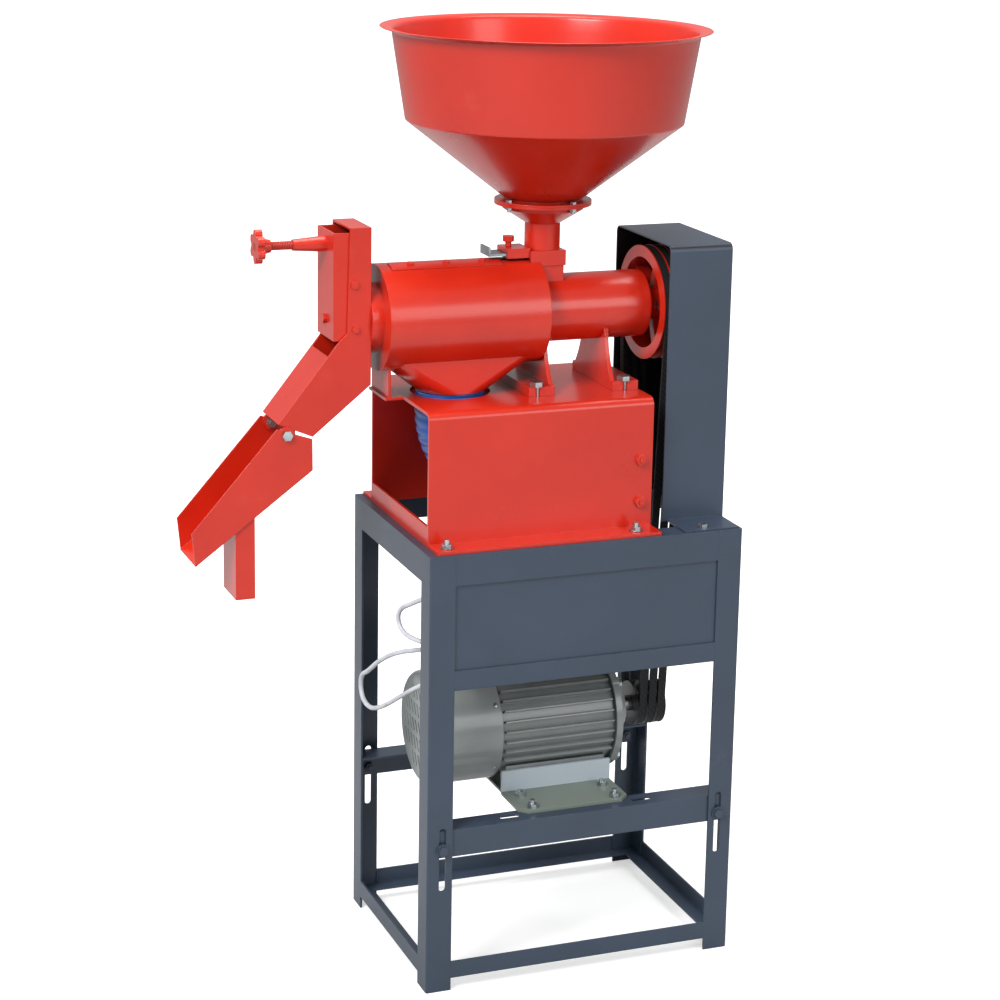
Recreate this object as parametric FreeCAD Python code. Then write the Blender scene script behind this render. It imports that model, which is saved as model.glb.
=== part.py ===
"""Rice huller: belt-driven mill with a feed hopper on an angle-iron stand, electric motor below.

Units are millimetres and +Z is up.  The values below are measured from the middle of the stand (X),
the shaft line (Y = 0) and the floor (Z = 0).  save() moves each piece so that the origin lies under
the middle of the whole machine's length.
"""
import FreeCAD, Part
import math
import os

V = FreeCAD.Vector

# ---------------------------------------------------------------- clearances
FIT = 0.3                # pieces that seat without touching
RUN = 0.05               # radial clearance of shafts, pins and pressed rings
SLIDE = 0.4              # between the stand and what slides along it

# ---------------------------------------------------------------- stand
STAND_W, STAND_D, STAND_H = 480.0, 346.0, 657.0
ANGLE, ANGLE_T = 38.0, 3.0              # angle iron: width of a flange, thickness
ANGLE_R = 3.0                           # outer corner radius
TOP_RAIL_H = 45.0
PANEL_T, PANEL_LAP = 1.5, 8.0
PANEL_RAIL_Z, PANEL_RAIL_H = 458.0, 29.0
LOW_RAIL_Z, LOW_RAIL_H = 18.7, 25.6
SLOT_Z, SLOT_L, SLOT_W = 156.0, 96.0, 10.0
SLOT_INSET = 23.0                       # slot's middle from the outside of the leg

# ---------------------------------------------------------------- motor
MOTOR_Z, MOTOR_X = 340.0, -2.0          # shaft height, middle of the stator
RAIL_H = 41.0
FOOT_RISE = 93.0                        # shaft height above the motor rails
STATOR_L, STATOR_R, STATOR_BORE = 180.0, 80.0, 61.0
FIN_R, FIN_T, FIN_N = 88.0, 2.4, 23
SHIELD_L, SHIELD_RIM = 38.0, 10.0
FAN_COVER_R, FAN_COVER_L, FAN_COVER_T = 85.0, 104.0, 2.0
MOTOR_SHAFT_R, ROTOR_R, ROTOR_L = 12.0, 60.4, 124.0
MBEAR_R, MBEAR_W = 26.0, 15.0
FAN_R, FAN_HUB_R, FAN_DISC_T, FAN_W, FAN_GAP, BLADES = 66.0, 19.0, 3.0, 34.0, 36.0, 7
FAN_BACK_L, SHAFT_TAIL, SHAFT_NOSE = 24.0, 6.0, 3.0
FOOT_WALL_Y, FOOT_T, FOOT_WALL_H, FOOT_REACH, FOOT_L = 67.0, 5.0, 37.0, 150.0, 173.0
FOOT_BOLT_X, FOOT_BOLT_Y, RAIL_STUD_Y = 65.0, 92.0, 140.0
TERM_L, TERM_W, TERM_H, TERM_T, TERM_LID = 80.0, 70.0, 28.0, 3.0, 7.0
TERM_X = 10.0
GLAND_R, GLAND_L = 9.0, 22.0

# ---------------------------------------------------------------- belt drive
PULLEY_X0, PULLEY_W = 145.0, 47.0
PULLEY_R, MOTOR_PULLEY_R = 84.0, 34.0
GROOVE_PITCH, GROOVE_TOP, GROOVE_BASE, GROOVE_DEEP = 15.0, 12.8, 7.6, 10.5
BELTS, BELT_H, BELT_GAP = 3, 8.0, 0.35
RIM_T, SPOKES, SPOKE_W, HUB_R = 17.0, 5, 14.0, 25.0

# ---------------------------------------------------------------- machine base
BASE_X0, BASE_X1, BASE_W, BASE_H = -228.0, 113.0, 256.0, 194.0
BASE_T, BASE_BEND, BASE_FLANGE = 5.0, 12.0, 40.0
BASE_STRIP_H = 30.0
SPOUT_HOLE_R = 58.0

# ---------------------------------------------------------------- mill
SHAFT_RISE = 113.0                      # shaft line above the base's top
SHAFT_Z = STAND_H + BASE_H + SHAFT_RISE
TUBE_R, TUBE_X1, FEED_BORE_R, NOSE_L = 49.0, 140.0, 40.0, 23.0
PAD_L, PAD_W, PAD_T, WEB_T = 40.0, 152.0, 14.0, 6.0
PAD1_X0, PAD2_X0 = -60.0, 70.0
PAD_BOLT_Y = 70.0
BEAR_R, BEAR_BORE, BEAR_W = 36.0, 17.5, 17.0
BEAR1_X0, BEAR2_X0 = 40.0, 116.0
DRUM_X0, DRUM_X1, DRUM_R, DRUM_T, DRUM_END = -267.0, -27.0, 76.5, 4.0, 4.0
FUNNEL_DROP, FUNNEL_X, FUNNEL_R, FUNNEL_T = 59.0, -152.0, 52.0, 3.0
FUNNEL_GAP = 5.0                        # funnel's bottom above the base plate
SPOUT_R, SPOUT_T, SPOUT_L = 44.0, 3.0, 31.0
NECK_R, NECK_BORE, NECK_L = 50.0, 42.0, 18.0
STRIP_T, STRIP_TILT, STRIP_HALF = 2.0, 13.0, 9.0
SCREEN_R, SCREEN_T = 44.5, 1.8
CORE_R, ROLLER_R, RIB_H = 16.0, 36.5, 2.5
SCREW_ROOT, SCREW_R, SCREW_PITCH = 24.0, 38.0, 38.0

# ---------------------------------------------------------------- feed
INLET_X, INLET_BODY, INLET_T = -14.0, 49.0, 4.5
INLET_HEAD, INLET_HEAD_RISE, INLET_HEAD_H = 54.0, 66.0, 22.0
GATE_RISE, GATE_T, GATE_W, GATE_OUT = 16.0, 3.5, 36.0, 88.0
BOSS_L, BOSS_H = 34.0, 14.0
HOPPER_NECK_R, HOPPER_BASE_R, HOPPER_T = 25.7, 58.5, 2.0
HOPPER_NECK_L, HOPPER_CONE_H, HOPPER_COLLAR = 38.0, 21.0, 6.0
HOPPER_FLANGE_R, HOPPER_FLANGE_T = 70.0, 3.5
BOWL_FOOT_R, BOWL_CONE_H, BOWL_CONE_R = 55.0, 112.0, 198.4
BOWL_BAND_H, BOWL_TOP_R, BOWL_LIP_H, BOWL_RIM_R = 124.0, 219.0, 7.5, 236.0
HOPPER_BOLTS, HOPPER_BOLT_R = 4, 64.5

# ---------------------------------------------------------------- outlet
OUT_X1, OUT_W, OUT_D, OUT_T = -285.0, 82.0, 35.0, 3.0
OUT_DOWN, OUT_UP, THROAT_R = 87.0, 136.0, 36.0
COVER_D, COVER_T, COVER_DOWN, COVER_UP = 19.0, 3.0, 23.0, 129.0
PIN_IN, PIN_UP, PIN_R = 24.0, 56.5, 4.0
SPINDLE_UP, SPINDLE_R, SLEEVE_L, SLEEVE_R = 109.0, 6.0, 48.0, 11.0
WHEEL_OUT, WHEEL_T, WHEEL_R, WHEEL_LOBES = 92.0, 10.0, 24.0, 6
PAD_R, PAD_L2 = 10.0, 6.0
SPRING_UP, SPRING_R, SPRING_WIRE, SPRING_TURNS = 3.0, 8.0, 1.6, 6
CHUTE_T = 2.5
EAR_R = 12.0
# chute corners as (X from the box's right side, Z from the shaft line)
PIVOT_AT, KNEE_AT, BROW_AT = (-123.0, -151.0), (-47.0, -24.0), (-62.0, -43.5)
LIP_AT, HEEL_AT = (-134.5, -135.5), (-85.0, -156.4)
TROUGH_T, TROUGH_GAP = 2.0, 0.6
# trough corners from its pivot
HEAD_AT, TIP_AT, TOE_AT = (-14.0, 9.5), (-137.0, -131.0), (-132.0, -179.0)
REAR_AT, NECK_AT = (37.5, -53.0), (37.0, -8.0)
BROKEN_AT, BROKEN_W, BROKEN_Y1, BROKEN_DROP = -74.0, 28.0, 26.0, 234.0

# ---------------------------------------------------------------- guard, hose, lead
GUARD_X0, GUARD_Y0, GUARD_Y1, GUARD_H, GUARD_T = 142.0, -105.0, 89.0, 408.0, 2.0
GUARD_BEND, TAB_INSET, TAB_W, TAB_REACH = 10.0, 4.0, 86.0, 63.0
HOSE_R, HOSE_T, HOSE_BEND, HOSE_DROP = 49.5, 5.2, 104.0, 33.0
COLLAR_L, COLLAR_R, COLLAR_T, COLLAR_RING = 30.0, 50.0, 3.0, 3.0
LEAD_R = 3.5
COIL_R, COIL_SECTION, TIE_T, TIE_W = 37.0, 10.0, 1.0, 8.0
PLUG_L, PLUG_W, PLUG_H, PIN_L = 44.0, 30.0, 24.0, 18.0

# ---------------------------------------------------------------- derived positions
HALF_W, HALF_D = STAND_W / 2, STAND_D / 2
FUNNEL_TOP_Z = SHAFT_Z - FUNNEL_DROP
INLET_HEAD_Z0, INLET_HEAD_Z1 = SHAFT_Z + INLET_HEAD_RISE, SHAFT_Z + INLET_HEAD_RISE + INLET_HEAD_H
GATE_Z, GATE_X0 = INLET_HEAD_Z0 + GATE_RISE, INLET_X - GATE_OUT
OUT_Z0, OUT_Z1 = SHAFT_Z - OUT_DOWN, SHAFT_Z + OUT_UP
COVER_Z0, COVER_Z1 = SHAFT_Z - COVER_DOWN, SHAFT_Z + COVER_UP
PIN_X, PIN_Z = OUT_X1 - PIN_IN, SHAFT_Z + PIN_UP
SPINDLE_Z, SPRING_Z = SHAFT_Z + SPINDLE_UP, SHAFT_Z + SPRING_UP
CHUTE_PIVOT_X, CHUTE_PIVOT_Z = OUT_X1 + PIVOT_AT[0], SHAFT_Z + PIVOT_AT[1]
CHUTE_KNEE, CHUTE_BROW, CHUTE_LIP, CHUTE_HEEL = [
    (OUT_X1 + a, SHAFT_Z + b) for a, b in (KNEE_AT, BROW_AT, LIP_AT, HEEL_AT)]
TROUGH_HEAD, TROUGH_TIP, TROUGH_TOE, TROUGH_REAR, TROUGH_NECK = [
    (CHUTE_PIVOT_X + a, CHUTE_PIVOT_Z + b) for a, b in (HEAD_AT, TIP_AT, TOE_AT, REAR_AT, NECK_AT)]
BROKEN_X0, BROKEN_Z0 = CHUTE_PIVOT_X + BROKEN_AT, CHUTE_PIVOT_Z - BROKEN_DROP
TAB_X0 = HALF_W - TAB_INSET - TAB_W
LENGTH_MID = (TROUGH_TIP[0] + HALF_W) / 2
PLATE_Z = STAND_H + BASE_H
STATOR_X0, STATOR_X1 = MOTOR_X - STATOR_L / 2, MOTOR_X + STATOR_L / 2
RAIL_TOP = MOTOR_Z - FOOT_RISE
RAIL_Y = HALF_D - ANGLE_T - SLIDE
TERM_Z = MOTOR_Z + FIN_R + 2
LID_Z = TERM_Z + TERM_H + TERM_LID
OUT_Y, OUT_X0 = OUT_W / 2, OUT_X1 - OUT_D
COVER_X0 = OUT_X0 - COVER_D
WHEEL_X1 = COVER_X0 - WHEEL_OUT
WHEEL_X0 = WHEEL_X1 - WHEEL_T
HOPPER_X = INLET_X
BASE_FLANGE_Z = INLET_HEAD_Z1 + HOPPER_NECK_L + HOPPER_CONE_H + HOPPER_COLLAR
BOWL_Z = BASE_FLANGE_Z + HOPPER_FLANGE_T
GROOVES = [PULLEY_X0 + PULLEY_W / 2 + (i - (BELTS - 1) / 2) * GROOVE_PITCH for i in range(BELTS)]
HOSE_Z = PLATE_Z + FUNNEL_GAP - FIT - HOSE_DROP - HOSE_BEND
HOSE_X = FUNNEL_X + 2 * HOSE_BEND
BASE_Y = BASE_W / 2


# ---------------------------------------------------------------- shape helpers
def box(x0, x1, y0, y1, z0, z1):
    return Part.makeBox(x1 - x0, y1 - y0, z1 - z0, V(x0, y0, z0))


def rod(axis, r, a0, a1, p, q):
    """Cylinder along an axis from a0 to a1; p and q are its other two coordinates in order."""
    start = {"x": V(a0, p, q), "y": V(p, a0, q), "z": V(p, q, a0)}[axis]
    way = {"x": V(1, 0, 0), "y": V(0, 1, 0), "z": V(0, 0, 1)}[axis]
    return Part.makeCylinder(r, a1 - a0, start, way)


def pipe(axis, r, bore, a0, a1, p, q):
    return rod(axis, r, a0, a1, p, q).cut(rod(axis, bore, a0 - 1, a1 + 1, p, q))


def prism(points, axis, a0, a1):
    """Polygon given in the plane across an axis, extruded along it from a0 to a1."""
    put = {"x": lambda p: V(a0, p[0], p[1]), "y": lambda p: V(p[0], a0, p[1]),
           "z": lambda p: V(p[0], p[1], a0)}[axis]
    way = {"x": V(a1 - a0, 0, 0), "y": V(0, a1 - a0, 0), "z": V(0, 0, a1 - a0)}[axis]
    ring = [put(p) for p in points]
    return Part.Face(Part.makePolygon(ring + ring[:1])).extrude(way)


def turned(profile, axis, p, q):
    """Body of revolution from (position along the axis, radius) points."""
    if axis == "x":
        ring, base, way = [V(a, p, q + r) for a, r in profile], V(0, p, q), V(1, 0, 0)
    elif axis == "y":
        ring, base, way = [V(p + r, a, q) for a, r in profile], V(p, 0, q), V(0, 1, 0)
    else:
        ring, base, way = [V(p + r, q, a) for a, r in profile], V(p, q, 0), V(0, 0, 1)
    return Part.Face(Part.makePolygon(ring + ring[:1])).revolve(base, way, 360)


def hexagon(axis, r, a0, a1, p, q):
    """Hexagonal prism, r across the corners' radius."""
    pts = [(p + r * math.cos(math.radians(60 * k)), q + r * math.sin(math.radians(60 * k)))
           for k in range(6)]
    return prism(pts, axis, a0, a1)


def fuse(shapes):
    whole = shapes[0].multiFuse(shapes[1:]) if len(shapes) > 1 else shapes[0]
    return whole.removeSplitter()


def bolt(axis, r, head, nut, p, q, tail=3.0, head_h=None):
    """Hexagon bolt: head seat and nut seat positions along the axis, either way round."""
    s = 1.0 if nut > head else -1.0
    h = head_h or 1.3 * r
    span = sorted((head - s * h, nut + s * (1.6 * r + tail)))
    parts = [rod(axis, r, span[0], span[1], p, q),
             hexagon(axis, 1.9 * r, *sorted((head, head - s * h)), p, q),
             hexagon(axis, 1.9 * r, *sorted((nut, nut + s * 1.6 * r)), p, q)]
    return fuse(parts)


def slot(axis, r, length, along, a0, a1, p, q):
    """Obround cutter through a0..a1; its length runs along the first or second coordinate."""
    d = (length - 2 * r) / 2
    ends = [(p - d, q), (p + d, q)] if along == 0 else [(p, q - d), (p, q + d)]
    flat = [(p - d, q - r), (p + d, q - r), (p + d, q + r), (p - d, q + r)] if along == 0 else \
           [(p - r, q - d), (p + r, q - d), (p + r, q + d), (p - r, q + d)]
    return fuse([prism(flat, axis, a0, a1)] + [rod(axis, r, a0, a1, *e) for e in ends])


def path_wire(points, tight=None):
    """Straight runs joined by tangent arcs, each as large as its two runs allow."""
    pts = [V(*p) for p in points]
    edges, start, radii = [], pts[0], []
    for a, b, c in zip(pts, pts[1:], pts[2:]):
        u, w = (b - a), (c - b)
        run = min(u.Length, w.Length)
        u, w = u.normalize(), w.normalize()
        half = math.acos(max(-1.0, min(1.0, u.dot(w)))) / 2
        r = 0.45 * run / math.tan(half)
        if tight:
            r = min(r, tight)
        cut = r * math.tan(half)
        p0, p1 = b - u * cut, b + w * cut
        mid = b + ((w - u).normalize()) * (r / math.cos(half) - r)
        edges += [Part.LineSegment(start, p0).toShape(), Part.Arc(p0, mid, p1).toShape()]
        start = p1
        radii.append(round(r))
    edges.append(Part.LineSegment(start, pts[-1]).toShape())
    return Part.Wire(edges), radii


def tube_on(wire, r):
    """Round bar swept along a wire."""
    first = wire.Edges[0]
    at, way = first.Vertexes[0].Point, first.tangentAt(first.FirstParameter)
    ring = Part.Wire([Part.makeCircle(r, at, way)])
    return wire.makePipeShell([ring], True, False)


def save(name, shape):
    shape = shape.copy()
    shape.translate(V(-LENGTH_MID, 0, 0))
    if not shape.isValid():
        print("NOT VALID", name)
    shape.exportStep("parts/" + name + ".step")
    b = shape.BoundBox
    print("%-18s %2d solids  vol %9.0f  x %7.1f %7.1f  y %7.1f %7.1f  z %7.1f %7.1f" % (
        name, len(shape.Solids), shape.Volume, b.XMin, b.XMax, b.YMin, b.YMax, b.ZMin, b.ZMax))


# ---------------------------------------------------------------- stand
def leg(sx, sy):
    """Angle-iron leg in the corner sx, sy, with the height slot in its front or rear flange."""
    x, y = sx * HALF_W, sy * HALF_D
    pts = [(x, y), (x - sx * ANGLE, y), (x - sx * ANGLE, y - sy * ANGLE_T),
           (x - sx * ANGLE_T, y - sy * ANGLE_T), (x - sx * ANGLE_T, y - sy * ANGLE),
           (x, y - sy * ANGLE)]
    bar = prism(pts, "z", 0, STAND_H)
    corner = [e for e in bar.Edges if len(e.Vertexes) == 2
              and all(abs(v.X - x) < 0.01 and abs(v.Y - y) < 0.01 for v in e.Vertexes)]
    bar = bar.makeFillet(min(ANGLE_R, ANGLE_T * 0.98), corner)
    mid = (x - sx * SLOT_INSET, SLOT_Z + SLOT_L / 2)
    return bar.cut(slot("y", SLOT_W / 2, SLOT_L, 1, *sorted((y + sy, y - sy * (ANGLE_T + 1))), *mid))


def ring_rails(z_plate, z_low, z_high, width):
    """Four welded rails: a flat inward flange all round and an upright flange between the legs."""
    gx, gy = HALF_W - ANGLE_T, HALF_D - ANGLE_T
    flat = box(-gx, gx, -gy, gy, z_plate, z_plate + ANGLE_T).cut(
        box(-HALF_W + width, HALF_W - width, -HALF_D + width, HALF_D - width,
            z_plate - 1, z_plate + ANGLE_T + 1))
    sides = [box(-HALF_W + ANGLE, HALF_W - ANGLE, *sorted((s * gy, s * HALF_D)), z_low, z_high)
             for s in (-1, 1)]
    sides += [box(*sorted((s * gx, s * HALF_W)), -HALF_D + ANGLE, HALF_D - ANGLE, z_low, z_high)
              for s in (-1, 1)]
    return fuse([flat] + sides)


def stand():
    for name, sx, sy in (("leg_front_left", -1, -1), ("leg_front_right", 1, -1),
                         ("leg_rear_left", -1, 1), ("leg_rear_right", 1, 1)):
        save(name, leg(sx, sy))
    top = ring_rails(STAND_H - ANGLE_T, STAND_H - TOP_RAIL_H, STAND_H, ANGLE)
    for x, y in stand_bolts() + guard_bolts():
        top = top.cut(rod("z", 4 + FIT, STAND_H - ANGLE_T - 1, STAND_H + 1, x, y))
    save("top_rails", top)
    save("bottom_rails", ring_rails(LOW_RAIL_Z, LOW_RAIL_Z, LOW_RAIL_Z + LOW_RAIL_H, LOW_RAIL_H))
    gy, span = HALF_D - ANGLE_T, HALF_W - ANGLE
    save("panel_rail", fuse([
        box(-span, span, -HALF_D, -gy, PANEL_RAIL_Z, PANEL_RAIL_Z + PANEL_RAIL_H),
        box(-HALF_W + ANGLE_T, HALF_W - ANGLE_T, -gy, -HALF_D + PANEL_RAIL_H,
            PANEL_RAIL_Z, PANEL_RAIL_Z + ANGLE_T)]))
    save("front_panel", box(-span - PANEL_LAP, span + PANEL_LAP, -gy, -gy + PANEL_T,
                            PANEL_RAIL_Z + PANEL_RAIL_H - PANEL_LAP,
                            STAND_H - TOP_RAIL_H + PANEL_LAP))


def stand_bolts():
    """Where the machine base is bolted to the stand; the rear right one clears the bran outlet."""
    y = BASE_Y + BASE_FLANGE * 0.57
    return [(BASE_X0 + 20, -y), (BASE_X0 + 20, y), (BASE_X1 - 33, -y), (BASE_X1 - 12, y)]


def guard_bolts():
    x = TAB_X0 + TAB_W * 0.4
    y = HALF_D - ANGLE / 2
    return [(x, -y), (x, y)]


# ---------------------------------------------------------------- motor and its rails
def motor_rail(sy):
    """Angle rail behind the legs' flanges; the motor feet stand on its top flange."""
    reach = HALF_W - ANGLE_T - SLIDE
    y0, y1 = sy * RAIL_Y, sy * (RAIL_Y - ANGLE_T)
    rail = fuse([box(-reach, reach, *sorted((y0, y1)), RAIL_TOP - RAIL_H, RAIL_TOP),
                 box(-reach, reach, *sorted((y0, sy * (RAIL_Y - ANGLE))),
                     RAIL_TOP - ANGLE_T, RAIL_TOP)])
    lo, hi = RAIL_TOP - ANGLE_T - 1, RAIL_TOP + 1
    for sx in (-1, 1):
        rail = rail.cut(rod("y", 4 + FIT, *sorted((y0 + sy, y1 - sy)),
                            sx * (HALF_W - SLOT_INSET), rail_bolt_z()))
        rail = rail.cut(rod("z", 4 + FIT, lo, hi, MOTOR_X + sx * FOOT_BOLT_X, sy * RAIL_STUD_Y))
    for x in (MOTOR_X - 104, MOTOR_X + 104):
        rail = rail.cut(slot("z", 5, 32, 0, lo, hi, x, sy * (RAIL_Y - ANGLE * 0.55)))
    return rail


def rail_bolt_z():
    return RAIL_TOP - RAIL_H + 13


def rail_bolts():
    """Bolts through the leg slots; a washer under each head bridges the slot."""
    out = []
    for sx in (-1, 1):
        for sy in (-1, 1):
            x, z = sx * (HALF_W - SLOT_INSET), rail_bolt_z()
            seat = sy * (HALF_D + SLIDE + 1.5)
            washer = rod("y", 10, *sorted((seat, sy * (HALF_D + SLIDE))), x, z)
            out.append(fuse([bolt("y", 4, seat, sy * (RAIL_Y - ANGLE_T), x, z), washer]))
    return Part.makeCompound(out)


def motor_stator():
    """Finned aluminium body with the foot lugs below and the terminal box seat on top."""
    parts = [rod("x", STATOR_R, STATOR_X0, STATOR_X1, 0, MOTOR_Z)]
    fin = box(STATOR_X0 + 4, STATOR_X1 - 4, -FIN_T / 2, FIN_T / 2,
              MOTOR_Z + STATOR_R - 1, MOTOR_Z + FIN_R)
    for k in range(FIN_N):
        f = fin.copy()
        f.rotate(V(0, 0, MOTOR_Z), V(1, 0, 0), -115 + 230.0 * k / (FIN_N - 1))
        parts.append(f)
    for s in (-1, 1):
        parts.append(box(MOTOR_X - FOOT_L / 2 + 8, MOTOR_X + FOOT_L / 2 - 8,
                         *sorted((s * FOOT_WALL_Y * 0.67, s * FOOT_WALL_Y)),
                         RAIL_TOP + FOOT_T + 12, RAIL_TOP + FOOT_WALL_H + 6))
    parts.append(box(TERM_X - TERM_L / 2, TERM_X + TERM_L / 2, -TERM_W / 2, TERM_W / 2,
                     MOTOR_Z + STATOR_R * 0.85, TERM_Z))
    body = fuse(parts)
    return body.cut(rod("x", STATOR_BORE, STATOR_X0 - 1, STATOR_X1 + 1, 0, MOTOR_Z))


def drive_end_shield():
    """Cast end shield: bolted rim, cone and bearing seat."""
    x0, x1 = STATOR_X1, STATOR_X1 + SHIELD_L
    rim, t = x0 + SHIELD_RIM, 5.0
    seat = x1 - 3 - MBEAR_W
    body = turned([(x0, STATOR_R - 8), (x0, FIN_R), (rim, FIN_R), (rim, STATOR_R - 8),
                   (x1 - 8, MBEAR_R + 12), (x1, MBEAR_R + 8), (x1, MOTOR_SHAFT_R + 1),
                   (x1 - 3, MOTOR_SHAFT_R + 1), (x1 - 3, MBEAR_R + RUN), (seat, MBEAR_R + RUN),
                   (seat, MBEAR_R + 6), (rim, STATOR_R - 8 - 2 * t), (x0, STATOR_R - 8 - t)],
                  "x", 0, MOTOR_Z)
    for k in range(4):
        lug = rod("x", 9, x0, rim + 2, 0, MOTOR_Z + STATOR_R)
        lug.rotate(V(0, 0, MOTOR_Z), V(1, 0, 0), 45 + 90 * k)
        body = body.fuse(lug)
    return body.removeSplitter()


def motor_bolts():
    """Shield bolts, the studs to the rails and the bolts of the foot straps."""
    out = []
    seat = STATOR_X1 + SHIELD_RIM + 2
    for k in range(4):
        b = hexagon("x", 6.5, seat, seat + 5, 0, MOTOR_Z + STATOR_R)
        b.rotate(V(0, 0, MOTOR_Z), V(1, 0, 0), 45 + 90 * k)
        out.append(b)
    top = RAIL_TOP + FOOT_T
    for sx in (-1, 1):
        for sy in (-1, 1):
            x = MOTOR_X + sx * FOOT_BOLT_X
            out.append(bolt("z", 4, RAIL_TOP - ANGLE_T, top, x, sy * RAIL_STUD_Y, tail=6))
            out.append(bolt("z", 4, RAIL_TOP - 4, top, x, sy * FOOT_BOLT_Y, tail=3))
    return Part.makeCompound(out)


def motor_feet():
    """Two bent-sheet feet, bolted to the rails, with two straps across between them."""
    out = []
    x0, x1, r = MOTOR_X - FOOT_L / 2, MOTOR_X + FOOT_L / 2, FOOT_T
    for s in (-1, 1):
        y0, y1 = FOOT_WALL_Y, FOOT_REACH
        pts = [(s * y0, RAIL_TOP), (s * y1, RAIL_TOP), (s * y1, RAIL_TOP + FOOT_T),
               (s * (y0 + FOOT_T), RAIL_TOP + FOOT_T), (s * (y0 + FOOT_T), RAIL_TOP + FOOT_WALL_H),
               (s * y0, RAIL_TOP + FOOT_WALL_H)]
        foot = prism(pts, "x", x0, x1)
        edge = [e for e in foot.Edges if len(e.Vertexes) == 2
                and all(abs(v.Y - s * y0) < 0.01 and abs(v.Z - RAIL_TOP) < 0.01 for v in e.Vertexes)]
        foot = foot.makeFillet(r, edge)
        for sx in (-1, 1):
            for y in (FOOT_BOLT_Y, RAIL_STUD_Y):
                foot = foot.cut(rod("z", 4 + FIT, RAIL_TOP - 1, RAIL_TOP + FOOT_T + 1,
                                    MOTOR_X + sx * FOOT_BOLT_X, s * y))
            foot = foot.cut(prism([(MOTOR_X + sx * (FOOT_L / 2 - 14), s * (y1 + 1)),
                                   (MOTOR_X + sx * (FOOT_L / 2 + 1), s * (y1 + 1)),
                                   (MOTOR_X + sx * (FOOT_L / 2 + 1), s * (y1 - 14))],
                                  "z", RAIL_TOP - 1, RAIL_TOP + FOOT_T + 1))
        out.append(foot)
    for sx in (-1, 1):
        x = MOTOR_X + sx * FOOT_BOLT_X
        strap = box(x - 15, x + 15, -FOOT_BOLT_Y - 14, FOOT_BOLT_Y + 14, RAIL_TOP - 4, RAIL_TOP)
        for sy in (-1, 1):
            strap = strap.cut(rod("z", 4 + FIT, RAIL_TOP - 5, RAIL_TOP + 1, x, sy * FOOT_BOLT_Y))
        out.append(strap)
    return Part.makeCompound(out)


def fan_cover():
    """Pressed cover with a rounded edge and rows of slanted air slots in its end."""
    x1, x0, r, t = STATOR_X0, STATOR_X0 - FAN_COVER_L, FAN_COVER_R, FAN_COVER_T
    b = 12.0
    outer = rod("x", r, x0, x1, 0, MOTOR_Z)
    edge = [e for e in outer.Edges if abs(e.BoundBox.XMax - x0) < 0.01 and e.BoundBox.ZLength > r]
    outer = outer.makeFillet(b, edge)
    inner = rod("x", r - t, x0 + t, x1 + 1, 0, MOTOR_Z)
    edge = [e for e in inner.Edges if abs(e.BoundBox.XMax - x0 - t) < 0.01
            and e.BoundBox.ZLength > r]
    cover = outer.cut(inner.makeFillet(b - t, edge))
    cuts = []
    for row in range(-2, 3):
        half = math.sqrt((r - 16) ** 2 - (abs(row) * 26 + 10) ** 2)
        count = int(2 * half // 13)
        for k in range(count):
            y, z = (k - (count - 1) / 2) * 13, MOTOR_Z + row * 26
            cuts.append(prism([(y - 7, z - 9), (y - 2, z - 9), (y + 7, z + 9), (y + 2, z + 9)],
                              "x", x0 - 1, x0 + t + 1))
    return cover.cut(Part.makeCompound(cuts))


def cooling_fan():
    """Plastic fan on the shaft's rear end: hub, disc and straight blades."""
    x1 = STATOR_X0 - FAN_GAP
    x0 = x1 - FAN_W
    parts = [rod("x", FAN_HUB_R, x0, x1, 0, MOTOR_Z),
             rod("x", FAN_R, x1 - FAN_DISC_T, x1, 0, MOTOR_Z)]
    for k in range(BLADES):
        blade = box(x0, x1 - 1, -1.25, 1.25, MOTOR_Z + MOTOR_SHAFT_R + 1, MOTOR_Z + FAN_R)
        blade.rotate(V(0, 0, MOTOR_Z), V(1, 0, 0), 360.0 * k / BLADES)
        parts.append(blade)
    return fuse(parts).cut(rod("x", MOTOR_SHAFT_R + RUN, x0 - 1, x1 + 1, 0, MOTOR_Z))


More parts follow.
